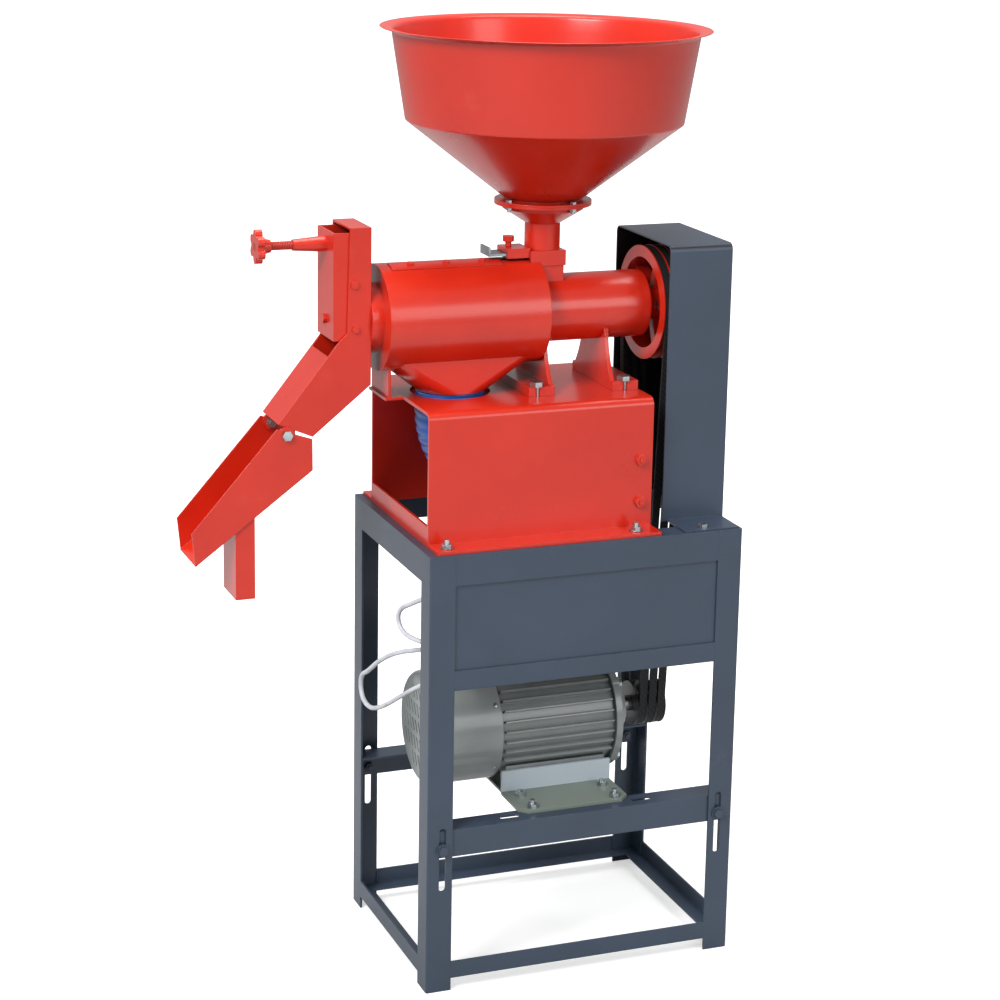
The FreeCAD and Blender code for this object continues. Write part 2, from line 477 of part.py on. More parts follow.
def motor():
    save("motor_rail_front", motor_rail(-1))
    save("motor_rail_rear", motor_rail(1))
    save("rail_bolts", rail_bolts())
    save("motor_stator", motor_stator())
    save("drive_end_shield", drive_end_shield())
    x0 = STATOR_X0
    in_r = FAN_COVER_R - FAN_COVER_T - FIT
    back = x0 - FAN_BACK_L
    save("fan_end_shield", turned([
        (x0, STATOR_R - 8), (x0, in_r), (x0 - FAN_BACK_L / 2, in_r), (back + 8, in_r - 8),
        (back, MBEAR_R + 7), (back, MOTOR_SHAFT_R + 1), (back + 3, MOTOR_SHAFT_R + 1),
        (back + 3, MBEAR_R + RUN), (back + 3 + MBEAR_W, MBEAR_R + RUN),
        (back + 3 + MBEAR_W, MBEAR_R + 6), (x0 - 7, in_r - 14)], "x", 0, MOTOR_Z))
    save("fan_cover", fan_cover())
    save("cooling_fan", cooling_fan())
    end = PULLEY_X0 + PULLEY_W + SHAFT_NOSE
    tail = x0 - FAN_GAP - FAN_W - SHAFT_TAIL
    save("rotor_shaft", fuse([
        rod("x", MOTOR_SHAFT_R, tail, end, 0, MOTOR_Z),
        rod("x", ROTOR_R, MOTOR_X - ROTOR_L / 2, MOTOR_X + ROTOR_L / 2, 0, MOTOR_Z)]))
    seat = STATOR_X1 + SHIELD_L - 3 - MBEAR_W
    rings = [pipe("x", MBEAR_R, MOTOR_SHAFT_R + RUN, a, a + MBEAR_W, 0, MOTOR_Z)
             for a in (seat, back + 3)]
    save("motor_bearings", Part.makeCompound(rings))
    save("motor_pulley", grooved(MOTOR_PULLEY_R, 18.0).cut(
        rod("x", MOTOR_SHAFT_R + RUN, PULLEY_X0 - 2, end, 0, SHAFT_Z)).translated(
        V(0, 0, MOTOR_Z - SHAFT_Z)))
    save("motor_feet", motor_feet())
    save("motor_bolts", motor_bolts())
    tx0, tx1, ty = TERM_X - TERM_L / 2, TERM_X + TERM_L / 2, TERM_W / 2
    case = box(tx0, tx1, -ty, ty, TERM_Z, TERM_Z + TERM_H).cut(
        box(tx0 + TERM_T, tx1 - TERM_T, -ty + TERM_T, ty - TERM_T,
            TERM_Z + TERM_T, TERM_Z + TERM_H + 1))
    gz = TERM_Z + TERM_H / 2
    case = case.cut(rod("x", GLAND_R * 0.8, tx0 - 1, tx0 + TERM_T + 1, 0, gz))
    save("terminal_box", case)
    lid = box(tx0 - 1.5, tx1 + 1.5, -ty - 1.5, ty + 1.5, TERM_Z + TERM_H, LID_Z)
    lid = lid.makeFillet(6, [e for e in lid.Edges if e.BoundBox.ZLength > TERM_LID - 0.1])
    lid = lid.makeFillet(2, [e for e in lid.Edges if e.BoundBox.ZMin > LID_Z - 0.01])
    save("terminal_box_lid", lid)
    gland = fuse([hexagon("x", GLAND_R + 1.5, tx0 - 8, tx0, 0, gz),
                  rod("x", GLAND_R, tx0 - GLAND_L + 2, tx0 - 6, 0, gz),
                  rod("x", GLAND_R * 0.8 - RUN, tx0 - 1, tx0 + TERM_T + 6, 0, gz),
                  turned([(tx0 - GLAND_L, 0.0), (tx0 - GLAND_L, GLAND_R - 3),
                          (tx0 - GLAND_L + 4, GLAND_R), (tx0 - GLAND_L + 4, 0.0)], "x", 0, gz)])
    save("cable_gland", gland)


# ---------------------------------------------------------------- belt drive
def grooved(r, bore):
    """V-belt pulley blank about the main shaft's line with one groove per belt."""
    x0, x1 = PULLEY_X0, PULLEY_X0 + PULLEY_W
    pts = [(x0, bore * 0.5), (x0, r)]
    for g in GROOVES:
        pts += [(g - GROOVE_TOP / 2, r), (g - GROOVE_BASE / 2, r - GROOVE_DEEP),
                (g + GROOVE_BASE / 2, r - GROOVE_DEEP), (g + GROOVE_TOP / 2, r)]
    pts += [(x1, r), (x1, bore * 0.5)]
    return turned(pts, "x", 0, SHAFT_Z)


def main_pulley():
    """Cast pulley: grooved rim, hub and spokes set back from the rim's face."""
    x0, x1 = PULLEY_X0, PULLEY_X0 + PULLEY_W
    rim = grooved(PULLEY_R, 20).cut(rod("x", PULLEY_R - RIM_T, x0 - 1, x1 + 1, 0, SHAFT_Z))
    parts = [rim, rod("x", HUB_R, x0 + 2, x1, 0, SHAFT_Z)]
    for k in range(SPOKES):
        spoke = box(x0 + 13, x1 - 13, -SPOKE_W / 2, SPOKE_W / 2,
                    SHAFT_Z + HUB_R * 0.7, SHAFT_Z + PULLEY_R - RIM_T + 2)
        spoke.rotate(V(0, 0, SHAFT_Z), V(1, 0, 0), 18 + 360.0 * k / SPOKES)
        parts.append(spoke)
    return fuse(parts).cut(rod("x", CORE_R + RUN, x0 - 1, x1 + 1, 0, SHAFT_Z))


def drive_belts():
    """V-belts round both pulleys, each a wedge section swept along its closed run."""
    out = []
    for g in GROOVES:
        loops = []
        flare = (GROOVE_TOP - GROOVE_BASE) / 2 / GROOVE_DEEP
        ra, rb, c = PULLEY_R - 0.5, MOTOR_PULLEY_R - 0.5, SHAFT_Z - MOTOR_Z
        s = math.asin((ra - rb) / c)
        a0, a1 = V(g, ra * math.cos(s), SHAFT_Z - ra * math.sin(s)), V(
            g, rb * math.cos(s), MOTOR_Z - rb * math.sin(s))
        b0, b1 = V(g, -a0.y, a0.z), V(g, -a1.y, a1.z)
        loops = [Part.LineSegment(a0, a1).toShape(),
                 Part.Arc(a1, V(g, 0, MOTOR_Z - rb), b1).toShape(),
                 Part.LineSegment(b1, b0).toShape(),
                 Part.Arc(b0, V(g, 0, SHAFT_Z + ra), a0).toShape()]
        out_dir = V(0, math.cos(s), -math.sin(s))
        half = GROOVE_TOP / 2 - BELT_GAP - 0.5 * flare
        low = half - BELT_H * flare
        sec = [a0 + V(-half, 0, 0), a0 + V(half, 0, 0), a0 - out_dir * BELT_H + V(low, 0, 0),
               a0 - out_dir * BELT_H + V(-low, 0, 0)]
        out.append(Part.Wire(loops).makePipeShell([Part.makePolygon(sec + sec[:1])], True, False))
    return Part.makeCompound(out)


def belt_guard():
    """Sheet guard: front, top, right side and rear; the side towards the mill is open."""
    x0, x1, y0, y1 = GUARD_X0, HALF_W, GUARD_Y0, GUARD_Y1
    z0, z1, t = STAND_H, STAND_H + GUARD_H, GUARD_T
    outer = box(x0, x1, y0, y1, z0, z1)
    edge = [e for e in outer.Edges if e.BoundBox.XLength > 1 and e.BoundBox.ZMin > z1 - 0.01]
    outer = outer.makeFillet(GUARD_BEND, edge)
    inner = box(x0 - 1, x1 - t, y0 + t, y1 - t, z0 - 1, z1 - t)
    edge = [e for e in inner.Edges if e.BoundBox.XLength > 1 and e.BoundBox.ZMin > z1 - t - 0.01]
    shell = outer.cut(inner.makeFillet(GUARD_BEND - t, edge))
    tabs = [box(TAB_X0, TAB_X0 + TAB_W, y0 - TAB_REACH, y0 + t, z0, z0 + t),
            box(TAB_X0, TAB_X0 + TAB_W, y1 - t, y1 + TAB_REACH, z0, z0 + t)]
    shell = fuse([shell] + tabs)
    for x, y in guard_bolts():
        shell = shell.cut(rod("z", 4 + FIT, z0 - 1, z0 + t + 1, x, y))
    return shell


# ---------------------------------------------------------------- machine base
def machine_base():
    """Plate bent to an inverted U with outward flanges; angles across its open ends."""
    y, t, b, z0, z1 = BASE_Y, BASE_T, BASE_BEND, STAND_H, PLATE_Z
    outer = box(BASE_X0, BASE_X1, -y, y, z0, z1)
    edge = [e for e in outer.Edges if e.BoundBox.XLength > 1 and e.BoundBox.ZMin > z1 - 0.01]
    outer = outer.makeFillet(b, edge)
    inner = box(BASE_X0 - 1, BASE_X1 + 1, -y + t, y - t, z0 - 1, z1 - t)
    edge = [e for e in inner.Edges if e.BoundBox.XLength > 1 and e.BoundBox.ZMin > z1 - t - 0.01]
    shell = outer.cut(inner.makeFillet(b - t, edge))
    parts = [shell]
    for s in (-1, 1):
        parts.append(box(BASE_X0, BASE_X1, *sorted((s * (y - t), s * (y + BASE_FLANGE))),
                         z0, z0 + t))
    for x0, x1, lip in ((BASE_X0, BASE_X0 + 4, BASE_X0 + BASE_STRIP_H),
                        (BASE_X1 - 4, BASE_X1, BASE_X1 - BASE_STRIP_H)):
        parts.append(box(x0, x1, -y + t, y - t, z0, z0 + BASE_STRIP_H))
        parts.append(box(*sorted((x0, lip)), -y + t, y - t, z0, z0 + 4))
    parts.append(box(BASE_X1 - 33, BASE_X1 - 4, -y + t, -y + t + 4, z0 + 22, z0 + 135))
    for z in (z0 + 41, z0 + 103):
        parts.append(hexagon("y", 9, -y - 6, -y + 1, BASE_X1 - 18, z))
        parts.append(rod("y", 4, -y - 9, -y + t + 10, BASE_X1 - 18, z))
    body = fuse(parts)
    body = body.cut(rod("z", SPOUT_HOLE_R, z1 - t - 1, z1 + 1, FUNNEL_X, 0))
    body = body.cut(rod("y", COLLAR_R - COLLAR_T - 1 + FIT, y - t - 1, y + 1, HOSE_X, HOSE_Z))
    for x, yy in pedestal_bolts():
        body = body.cut(rod("z", 6 + FIT, z1 - t - 1, z1 + 1, x, yy))
    for x, yy in stand_bolts():
        body = body.cut(rod("z", 4 + FIT, z0 - 1, z0 + t + 1, x, yy))
    return body


def pedestal_bolts():
    xs = (PAD1_X0 + (PAD_L - WEB_T) * 0.41, PAD2_X0 + WEB_T + (PAD_L - WEB_T) * 0.4)
    return [(x, s * PAD_BOLT_Y) for x in xs for s in (-1, 1)]


def frame_bolts():
    """Bolts of the base on the stand, of the bearing feet on the base and of the guard's tabs."""
    out = [bolt("z", 4, STAND_H - ANGLE_T, STAND_H + BASE_T, x, y, tail=6) for x, y in stand_bolts()]
    out += [bolt("z", 5.5, PLATE_Z + PAD_T, PLATE_Z - BASE_T, x, y) for x, y in pedestal_bolts()]
    out += [bolt("z", 4, STAND_H + GUARD_T, STAND_H - ANGLE_T, x, y) for x, y in guard_bolts()]
    return Part.makeCompound(out)


def bran_collar():
    """Flanged ring in the rear wall: the hose fits over its inner end."""
    y, r, bore = BASE_Y, COLLAR_R, COLLAR_R - 2 * COLLAR_T - 1
    inner = COLLAR_R - COLLAR_T - 1
    return turned([(y - BASE_T - 22, bore), (y - BASE_T - 22, min(inner, HOSE_R - HOSE_T - FIT)),
                   (y - BASE_T, min(inner, HOSE_R - HOSE_T - FIT)), (y - BASE_T, inner),
                   (y, inner), (y, r + COLLAR_RING), (y + 3, r + COLLAR_RING), (y + 3, r),
                   (y + COLLAR_L, r), (y + COLLAR_L, bore)], "y", HOSE_X, HOSE_Z)


def bran_hose():
    """Hose from the funnel's spout, down, along the base and out to the collar."""
    top, b, x = PLATE_Z + FUNNEL_GAP - FIT, HOSE_BEND, FUNNEL_X
    k = math.sqrt(0.5)
    p = [V(x, 0, top), V(x, 0, HOSE_Z + b), V(x + b, 0, HOSE_Z), V(x + 2 * b, b, HOSE_Z),
         V(x + 2 * b, BASE_Y - BASE_T - FIT, HOSE_Z)]
    wire = Part.Wire([
        Part.LineSegment(p[0], p[1]).toShape(),
        Part.Arc(p[1], V(x + b - b * k, 0, HOSE_Z + b - b * k), p[2]).toShape(),
        Part.Arc(p[2], V(x + b + b * k, b - b * k, HOSE_Z), p[3]).toShape(),
        Part.LineSegment(p[3], p[4]).toShape()])
    return tube_on(wire, HOSE_R).cut(tube_on(wire, HOSE_R - HOSE_T))


# ---------------------------------------------------------------- mill body
def bearing_housing():
    """Cast tube with a feed bore and two bearing seats, on two flared webs with foot pads."""
    x0 = DRUM_X1 - NOSE_L
    webs = []
    z0, z1 = PLATE_Z, PLATE_Z + PAD_T
    foot = PAD_W / 2 - 8
    for a, pad in ((PAD1_X0 + PAD_L - WEB_T, PAD1_X0), (PAD2_X0, PAD2_X0)):
        webs.append(box(pad, pad + PAD_L, -PAD_W / 2, PAD_W / 2, z0, z1))
        up = SHAFT_Z - TUBE_R * 0.55
        edge = TUBE_R * math.cos(math.asin(0.55)) - 0.5
        arc_r = Part.Arc(V(a, foot, z1), V(a, edge + (foot - edge) * 0.22, (z1 + up) / 2 + 4),
                         V(a, edge, up)).toShape()
        arc_l = Part.Arc(V(a, -edge, up), V(a, -edge - (foot - edge) * 0.22, (z1 + up) / 2 + 4),
                         V(a, -foot, z1)).toShape()
        face = Part.Face(Part.Wire([
            Part.LineSegment(V(a, -foot, z1), V(a, foot, z1)).toShape(), arc_r,
            Part.LineSegment(V(a, edge, up), V(a, -edge, up)).toShape(), arc_l]))
        webs.append(face.extrude(V(WEB_T, 0, 0)))
    body = fuse([rod("x", TUBE_R, x0, TUBE_X1, 0, SHAFT_Z)] + webs)
    wall = BEAR1_X0 - 8
    body = body.cut(rod("x", FEED_BORE_R, x0 - 1, wall, 0, SHAFT_Z))
    body = body.cut(rod("x", BEAR_BORE + 1, wall - 1, TUBE_X1 + 1, 0, SHAFT_Z))
    body = body.cut(rod("x", BEAR_R + RUN, BEAR1_X0, BEAR1_X0 + BEAR_W + 2, 0, SHAFT_Z))
    body = body.cut(rod("x", BEAR_R - 3, BEAR1_X0 + BEAR_W + 1, BEAR2_X0, 0, SHAFT_Z))
    body = body.cut(rod("x", BEAR_R + RUN, BEAR2_X0, TUBE_X1 + 1, 0, SHAFT_Z))
    duct = INLET_BODY / 2 - INLET_T
    body = body.cut(box(INLET_X - duct, INLET_X + duct, -duct, duct, SHAFT_Z, SHAFT_Z + TUBE_R + 1))
    for x, y in pedestal_bolts():
        body = body.cut(rod("z", 6 + FIT, z0 - 1, z1 + 1, x, y))
    return body


def rounded(hx, hy, r, cx, z):
    """Rounded rectangle of four sides and four corners, from the right side round."""
    k = r * (1 - math.sqrt(0.5))
    pts = [(hx, -hy + r), (hx, hy - r), (hx - r, hy), (-hx + r, hy), (-hx, hy - r),
           (-hx, -hy + r), (-hx + r, -hy), (hx - r, -hy)]
    mids = [(hx - k, hy - k), (-hx + k, hy - k), (-hx + k, -hy + k), (hx - k, -hy + k)]
    p = [V(cx + a, b, z) for a, b in pts]
    m = [V(cx + a, b, z) for a, b in mids]
    edges = []
    for i in range(4):
        edges.append(Part.LineSegment(p[2 * i], p[2 * i + 1]).toShape())
        edges.append(Part.Arc(p[2 * i + 1], m[i], p[(2 * i + 2) % 8]).toShape())
    return Part.Wire(edges)


def funnel(grow):
    """Loft from the drum's underside to the round bottom; grow is negative for the inside."""
    hx, mid = (DRUM_X1 - DRUM_X0) / 2 + grow, (DRUM_X0 + DRUM_X1) / 2
    drop = SHAFT_Z - FUNNEL_TOP_Z
    hy = math.sqrt(DRUM_R ** 2 - drop ** 2) + 0.5 + grow
    r = FUNNEL_R + grow
    z0 = PLATE_Z + FUNNEL_GAP - (0 if grow == 0 else grow)
    top = rounded(hx, hy, hy * 0.8, mid, FUNNEL_TOP_Z)
    low = rounded(r, r, r * 0.94, FUNNEL_X, z0)
    return Part.makeLoft([top, low], True, True)


def chamber_shell():
    """Milling drum with its bran funnel, spout, outlet neck and the small rear and front foot."""
    z, x0, x1 = SHAFT_Z, DRUM_X0, DRUM_X1
    low = PLATE_Z + FUNNEL_GAP
    outer = fuse([rod("x", DRUM_R, x0, x1, 0, z), funnel(0),
                  rod("z", SPOUT_R, low - SPOUT_L, low + 1, FUNNEL_X, 0),
                  rod("x", NECK_R, x0 - NECK_L, x0 + 1, 0, z),
                  box(x0 + 9, x0 + 13, -38, 38, PLATE_Z, FUNNEL_TOP_Z + 5),
                  box(x0 + 5, x0 + 32, -38, 38, PLATE_Z, PLATE_Z + 4)])
    inner = fuse([rod("x", DRUM_R - DRUM_T, x0 + DRUM_END, x1 - DRUM_END, 0, z),
                  funnel(-FUNNEL_T)])
    body = outer.cut(inner)
    body = body.cut(rod("z", SPOUT_R - SPOUT_T, low - SPOUT_L - 1, low + FUNNEL_T + 1, FUNNEL_X, 0))
    body = body.cut(rod("x", NECK_BORE, x0 - NECK_L - 1, x0 + DRUM_END + 1, 0, z))
    body = body.cut(rod("x", TUBE_R + FIT, x1 - DRUM_END - 1, x1 + 1, 0, z))
    half, head = INLET_BODY / 2 + FIT, INLET_HEAD / 2 + FIT
    body = body.cut(box(INLET_X - half, x1 + 1, -half, half, z, z + DRUM_R + 5))
    return body.cut(box(INLET_X - head, x1 + 1, -head + 1, head - 1, INLET_HEAD_Z0 - FIT,
                        z + DRUM_R + 5))


def chamber_lid():
    """Bolted cover strip along the drum, a little forward of its top."""
    x0, x1 = DRUM_X0 + 17, DRUM_X1 - 58
    strip = Part.makeCylinder(DRUM_R + RUN + STRIP_T, x1 - x0, V(x0, 0, SHAFT_Z), V(1, 0, 0),
                              2 * STRIP_HALF)
    strip = strip.cut(rod("x", DRUM_R + RUN, x0 - 1, x1 + 1, 0, SHAFT_Z))
    a = strip.Solids[0].CenterOfMass
    at = math.degrees(math.atan2(-a.y, a.z - SHAFT_Z))
    strip.rotate(V(0, 0, SHAFT_Z), V(1, 0, 0), STRIP_TILT - at)
    parts = [strip]
    for k in range(3):
        x = x0 + (x1 - x0) * (0.18 + 0.325 * k)
        head = hexagon("z", 5, SHAFT_Z + DRUM_R + 1, SHAFT_Z + DRUM_R + STRIP_T + 3.5, x, 0)
        head.rotate(V(0, 0, SHAFT_Z), V(1, 0, 0), STRIP_TILT)
        parts.append(head)
    return fuse(parts).cut(rod("x", DRUM_R + RUN, x0 - 1, x1 + 1, 0, SHAFT_Z))


def rice_screen():
    """Six-sided screen round the roller, clamped between the housing's nose and the drum's end."""
    x0, x1 = DRUM_X0 + DRUM_END + FIT, DRUM_X1 - NOSE_L - FIT
    to_corner = 1 / math.cos(math.radians(30))
    return hexagon("x", SCREEN_R * to_corner, x0, x1, 0, SHAFT_Z).cut(
        hexagon("x", (SCREEN_R - SCREEN_T) * to_corner, x0 - 1, x1 + 1, 0, SHAFT_Z))


def milling_roller():
    """Ribbed roller: two raised ribs along a turned body with a bevelled outlet end."""
    x0, x1 = DRUM_X0 + DRUM_END + 8, DRUM_X1 - NOSE_L - 1
    body = turned([(x0, CORE_R + RUN), (x0, ROLLER_R - 6), (x0 + 12, ROLLER_R), (x1, ROLLER_R),
                   (x1, CORE_R + RUN)], "x", 0, SHAFT_Z)
    ribs = []
    for k in range(3):
        rib = box(x0 + 14, x1, -3, 3, SHAFT_Z + ROLLER_R - 2, SHAFT_Z + ROLLER_R + RIB_H)
        rib.rotate(V(0, 0, SHAFT_Z), V(1, 0, 0), 120 * k)
        ribs.append(rib)
    return fuse([body] + ribs)


def feed_screw():
    """Screw that feeds the grain: root tube with one helical flight."""
    x0, x1 = DRUM_X1 - NOSE_L, BEAR1_X0 - 8 - 3
    root = pipe("x", SCREW_ROOT, CORE_R + RUN, x0, x1, 0, SHAFT_Z)
    turn = Part.makeHelix(SCREW_PITCH, x1 - x0 - 8, SCREW_ROOT - 1)
    sec = Part.makePolygon([V(SCREW_ROOT - 1, 0, -2.5), V(SCREW_R, 0, -1.5), V(SCREW_R, 0, 1.5),
                            V(SCREW_ROOT - 1, 0, 2.5), V(SCREW_ROOT - 1, 0, -2.5)])
    flight = Part.Wire(turn).makePipeShell([sec], True, True)
    flight.rotate(V(0, 0, 0), V(0, 1, 0), 90)
    flight.translate(V(x0 + 4, 0, SHAFT_Z))
    return fuse([root, flight])


def main_shaft():
    """Stepped shaft with the roller nut at one end and the pulley nut at the other."""
    x0, end = DRUM_X0, PULLEY_X0 + PULLEY_W
    z, roller_end = SHAFT_Z, DRUM_X0 + DRUM_END + 8
    step = BEAR1_X0 - 8
    return fuse([rod("x", 10, x0, roller_end + 2, 0, z),
                 hexagon("x", 17, roller_end - 9, roller_end, 0, z),
                 rod("x", CORE_R, roller_end, end + 2, 0, z),
                 rod("x", BEAR_BORE - RUN, step - 2, PULLEY_X0 - FIT, 0, z),
                 rod("x", 10, end, end + 14, 0, z), hexagon("x", 18, end, end + 9, 0, z)])


def mill():
    save("machine_base", machine_base())
    save("frame_bolts", frame_bolts())
    save("bran_collar", bran_collar())
    save("bran_hose", bran_hose())
    save("bearing_housing", bearing_housing())
    rings = [pipe("x", BEAR_R, BEAR_BORE, a, a + BEAR_W, 0, SHAFT_Z) for a in (BEAR1_X0, BEAR2_X0)]
    save("shaft_bearings", Part.makeCompound(rings))
    save("chamber_shell", chamber_shell())
    save("chamber_lid", chamber_lid())
    save("rice_screen", rice_screen())
    save("milling_roller", milling_roller())
    save("feed_screw", feed_screw())
    save("main_shaft", main_shaft())
    save("main_pulley", main_pulley())
    save("drive_belts", drive_belts())
    save("belt_guard", belt_guard())


# ---------------------------------------------------------------- feed side
def feed_inlet():
    """Square duct on the housing tube with a head that guides the gate and takes the hopper."""
    x, b, h = INLET_X, INLET_BODY / 2, INLET_HEAD / 2
    duct = b - INLET_T
    z1 = INLET_HEAD_Z1
    boss_x = x - h - BOSS_L
    body = fuse([box(x - b, x + b, -b, b, SHAFT_Z + TUBE_R * 0.5, INLET_HEAD_Z0 + 1),
                 box(x - h, x + h, -h + 1, h - 1, INLET_HEAD_Z0, z1),
                 box(boss_x, x - h + 1, -GATE_W / 2 - 3, GATE_W / 2 + 3, GATE_Z - 3.8,
                     GATE_Z - 3.8 + BOSS_H)])
    body = body.cut(rod("x", TUBE_R + RUN, x - b - 1, x + b + 1, 0, SHAFT_Z))
    body = body.cut(box(x - duct, x + duct, -duct, duct, SHAFT_Z, z1 - 6))
    body = body.cut(rod("z", HOPPER_NECK_R - HOPPER_T, z1 - 7, z1 + 1, x, 0))
    body = body.cut(box(boss_x - 1, x + duct + 3 + FIT, -GATE_W / 2 - FIT, GATE_W / 2 + FIT,
                        GATE_Z - FIT, GATE_Z + GATE_T + FIT))
    return body.cut(rod("z", 3 + RUN, GATE_Z, z1 + 20, *lock_at()))


def lock_at():
    return (INLET_X - INLET_HEAD / 2 - BOSS_L + 9, 0)


def feed_gate():
    """Steel slide that shuts the duct; its end is turned up as a finger grip."""
    duct = INLET_BODY / 2 - INLET_T
    x1 = INLET_X + duct + 3
    gate = fuse([box(GATE_X0, x1, -GATE_W / 2, GATE_W / 2, GATE_Z, GATE_Z + GATE_T),
                 box(GATE_X0, GATE_X0 + 2.5, -GATE_W / 2, GATE_W / 2, GATE_Z, GATE_Z + 13)])
    return gate


def gate_lock_screw():
    """Thumb screw in the guide's boss."""
    x, y = lock_at()
    top = GATE_Z - 3.8 + BOSS_H
    knob = rod("z", 8.2, top + 8, top + 16, x, y)
    for k in range(8):
        groove = rod("z", 1.4, top + 7, top + 17, x + 8.6 * math.cos(k * math.pi / 4),
                     y + 8.6 * math.sin(k * math.pi / 4))
        knob = knob.cut(groove)
    return fuse([knob, rod("z", 4.5, top + FIT, top + 8, x, y),
                 rod("z", 3, GATE_Z + GATE_T + FIT, top + 1, x, y)])


def feed():
    save("feed_inlet", feed_inlet())
    save("feed_gate", feed_gate())
    save("gate_lock_screw", gate_lock_screw())
    z0, t, x = INLET_HEAD_Z1, HOPPER_T, HOPPER_X
    z1, z2, z3 = z0 + HOPPER_NECK_L, z0 + HOPPER_NECK_L + HOPPER_CONE_H, BASE_FLANGE_Z
    rn, rb, rf = HOPPER_NECK_R, HOPPER_BASE_R, HOPPER_FLANGE_R
    holes = [rod("z", 2.5 + FIT, z3 - 5, BOWL_Z + 10,
                 x + HOPPER_BOLT_R * math.cos(a), HOPPER_BOLT_R * math.sin(a))
             for a in hopper_bolt_angles()]
    base = turned([(z0, rn - t), (z0, rn), (z1, rn), (z2, rb), (z3, rb), (z3, rf), (BOWL_Z, rf),
                   (BOWL_Z, rb - t), (z2 + 0.5, rb - t), (z1 + 0.5, rn - t)], "z", x, 0)
    save("hopper_base", base.cut(Part.makeCompound(holes)))
    zb, zt = BOWL_Z, BOWL_Z + HOPPER_FLANGE_T
    zc, zr = zt + BOWL_CONE_H, zt + BOWL_CONE_H + BOWL_BAND_H
    zl = zr + BOWL_LIP_H
    bowl = turned([(zb, BOWL_FOOT_R - t), (zb, rf), (zt, rf), (zt, BOWL_FOOT_R), (zc, BOWL_CONE_R),
                   (zr, BOWL_TOP_R), (zl - 1.5, BOWL_RIM_R), (zl, BOWL_RIM_R),
                   (zl, BOWL_RIM_R - 1.5), (zr, BOWL_TOP_R - t), (zc + 0.5, BOWL_CONE_R - t),
                   (zt + 0.5, BOWL_FOOT_R - t)], "z", x, 0)
    save("hopper_bowl", bowl.cut(Part.makeCompound(holes)))
    bolts = [bolt("z", 2.5, zt, z3, x + HOPPER_BOLT_R * math.cos(a),
                  HOPPER_BOLT_R * math.sin(a), tail=3.5, head_h=3.0)
             for a in hopper_bolt_angles()]
    save("hopper_bolts", Part.makeCompound(bolts))


def hopper_bolt_angles():
    return [math.radians(20 + 360.0 * k / HOPPER_BOLTS) for k in range(HOPPER_BOLTS)]


# ---------------------------------------------------------------- outlet side
def outlet_housing():
    """Box over the drum's outlet with the upper chute welded to it."""
    y, t, x0, x1 = OUT_Y, OUT_T, OUT_X0, OUT_X1
    heel, lip, brow, knee = CHUTE_HEEL, CHUTE_LIP, CHUTE_BROW, CHUTE_KNEE
    side = [(x0 + 4, OUT_Z1), (x1, OUT_Z1), (x1, OUT_Z0), heel, lip, brow, knee,
            (x0, knee[1] + 12)]
    parts = []
    for s in (-1, 1):
        span = sorted((s * y, s * (y - t)))
        parts.append(prism(side, "y", *span))
        parts.append(rod("y", EAR_R, *span, CHUTE_PIVOT_X, CHUTE_PIVOT_Z))
    parts.append(box(x1 - t, x1, -y + t / 2, y - t / 2, OUT_Z0, OUT_Z1))
    parts.append(box(x0 + 4, x1, -y + t / 2, y - t / 2, OUT_Z1 - t, OUT_Z1))
    parts.append(sheet((x1, OUT_Z0), heel, CHUTE_T, y - t / 2))
    parts.append(sheet(lip, brow, CHUTE_T, y - t / 2))
    body = fuse(parts).cut(rod("x", THROAT_R, x1 - t - 1, x1 + 1, 0, SHAFT_Z))
    body = body.cut(rod("y", PIN_R + RUN, -y - 1, y + 1, PIN_X, PIN_Z))
    body = body.cut(rod("y", 3 + RUN, -y - 1, y + 1, *cover_screw()))
    return body.cut(rod("y", 4 + RUN, -y - 1, y + 1, CHUTE_PIVOT_X, CHUTE_PIVOT_Z))


def sheet(a, b, t, half):
    """Flat sheet between two points of the XZ plane, t thick to the right of a-b, seen along +Y."""
    dx, dz = b[0] - a[0], b[1] - a[1]
    n = math.hypot(dx, dz)
    ox, oz = dz / n * t, -dx / n * t
    return prism([a, b, (b[0] + ox, b[1] + oz), (a[0] + ox, a[1] + oz)], "y", -half, half)


def cover_screw():
    return (PIN_X + 1.5, COVER_Z0 + 16)


def outlet_cover():
    """Channel that closes the box's outer side, with the spindle's sleeve."""
    y, t, x0 = OUT_Y - OUT_T - FIT, COVER_T, COVER_X0
    x1 = OUT_X1 - OUT_T - 8
    z0, z1 = COVER_Z0, COVER_Z1
    body = box(x0, x1, -y, y, z0, z1).cut(box(x0 + t, x1 + 1, -y + t, y - t, z0 - 1, z1 + 1))
    sleeve = turned([(x0 - SLEEVE_L, 0.0), (x0 - SLEEVE_L, SLEEVE_R - 3), (x0 - 8, SLEEVE_R),
                     (x0 + 1, SLEEVE_R), (x0 + 1, 0.0)], "x", 0, SPINDLE_Z)
    body = fuse([body, sleeve])
    body = body.cut(rod("x", SPINDLE_R + RUN, x0 - SLEEVE_L - 1, x0 + t + 1, 0, SPINDLE_Z))
    body = body.cut(rod("x", 3 + RUN, x0 - 1, x0 + t + 1, 0, SPRING_Z))
    body = body.cut(rod("y", PIN_R + RUN, -y - 1, y + 1, PIN_X, PIN_Z))
    return body.cut(rod("y", 3 + RUN, -y - 1, y + 1, *cover_screw()))


def pad_front():
    """Rest position of the thrust pad's front face."""
    return PIN_X - PIN_R - 5.5


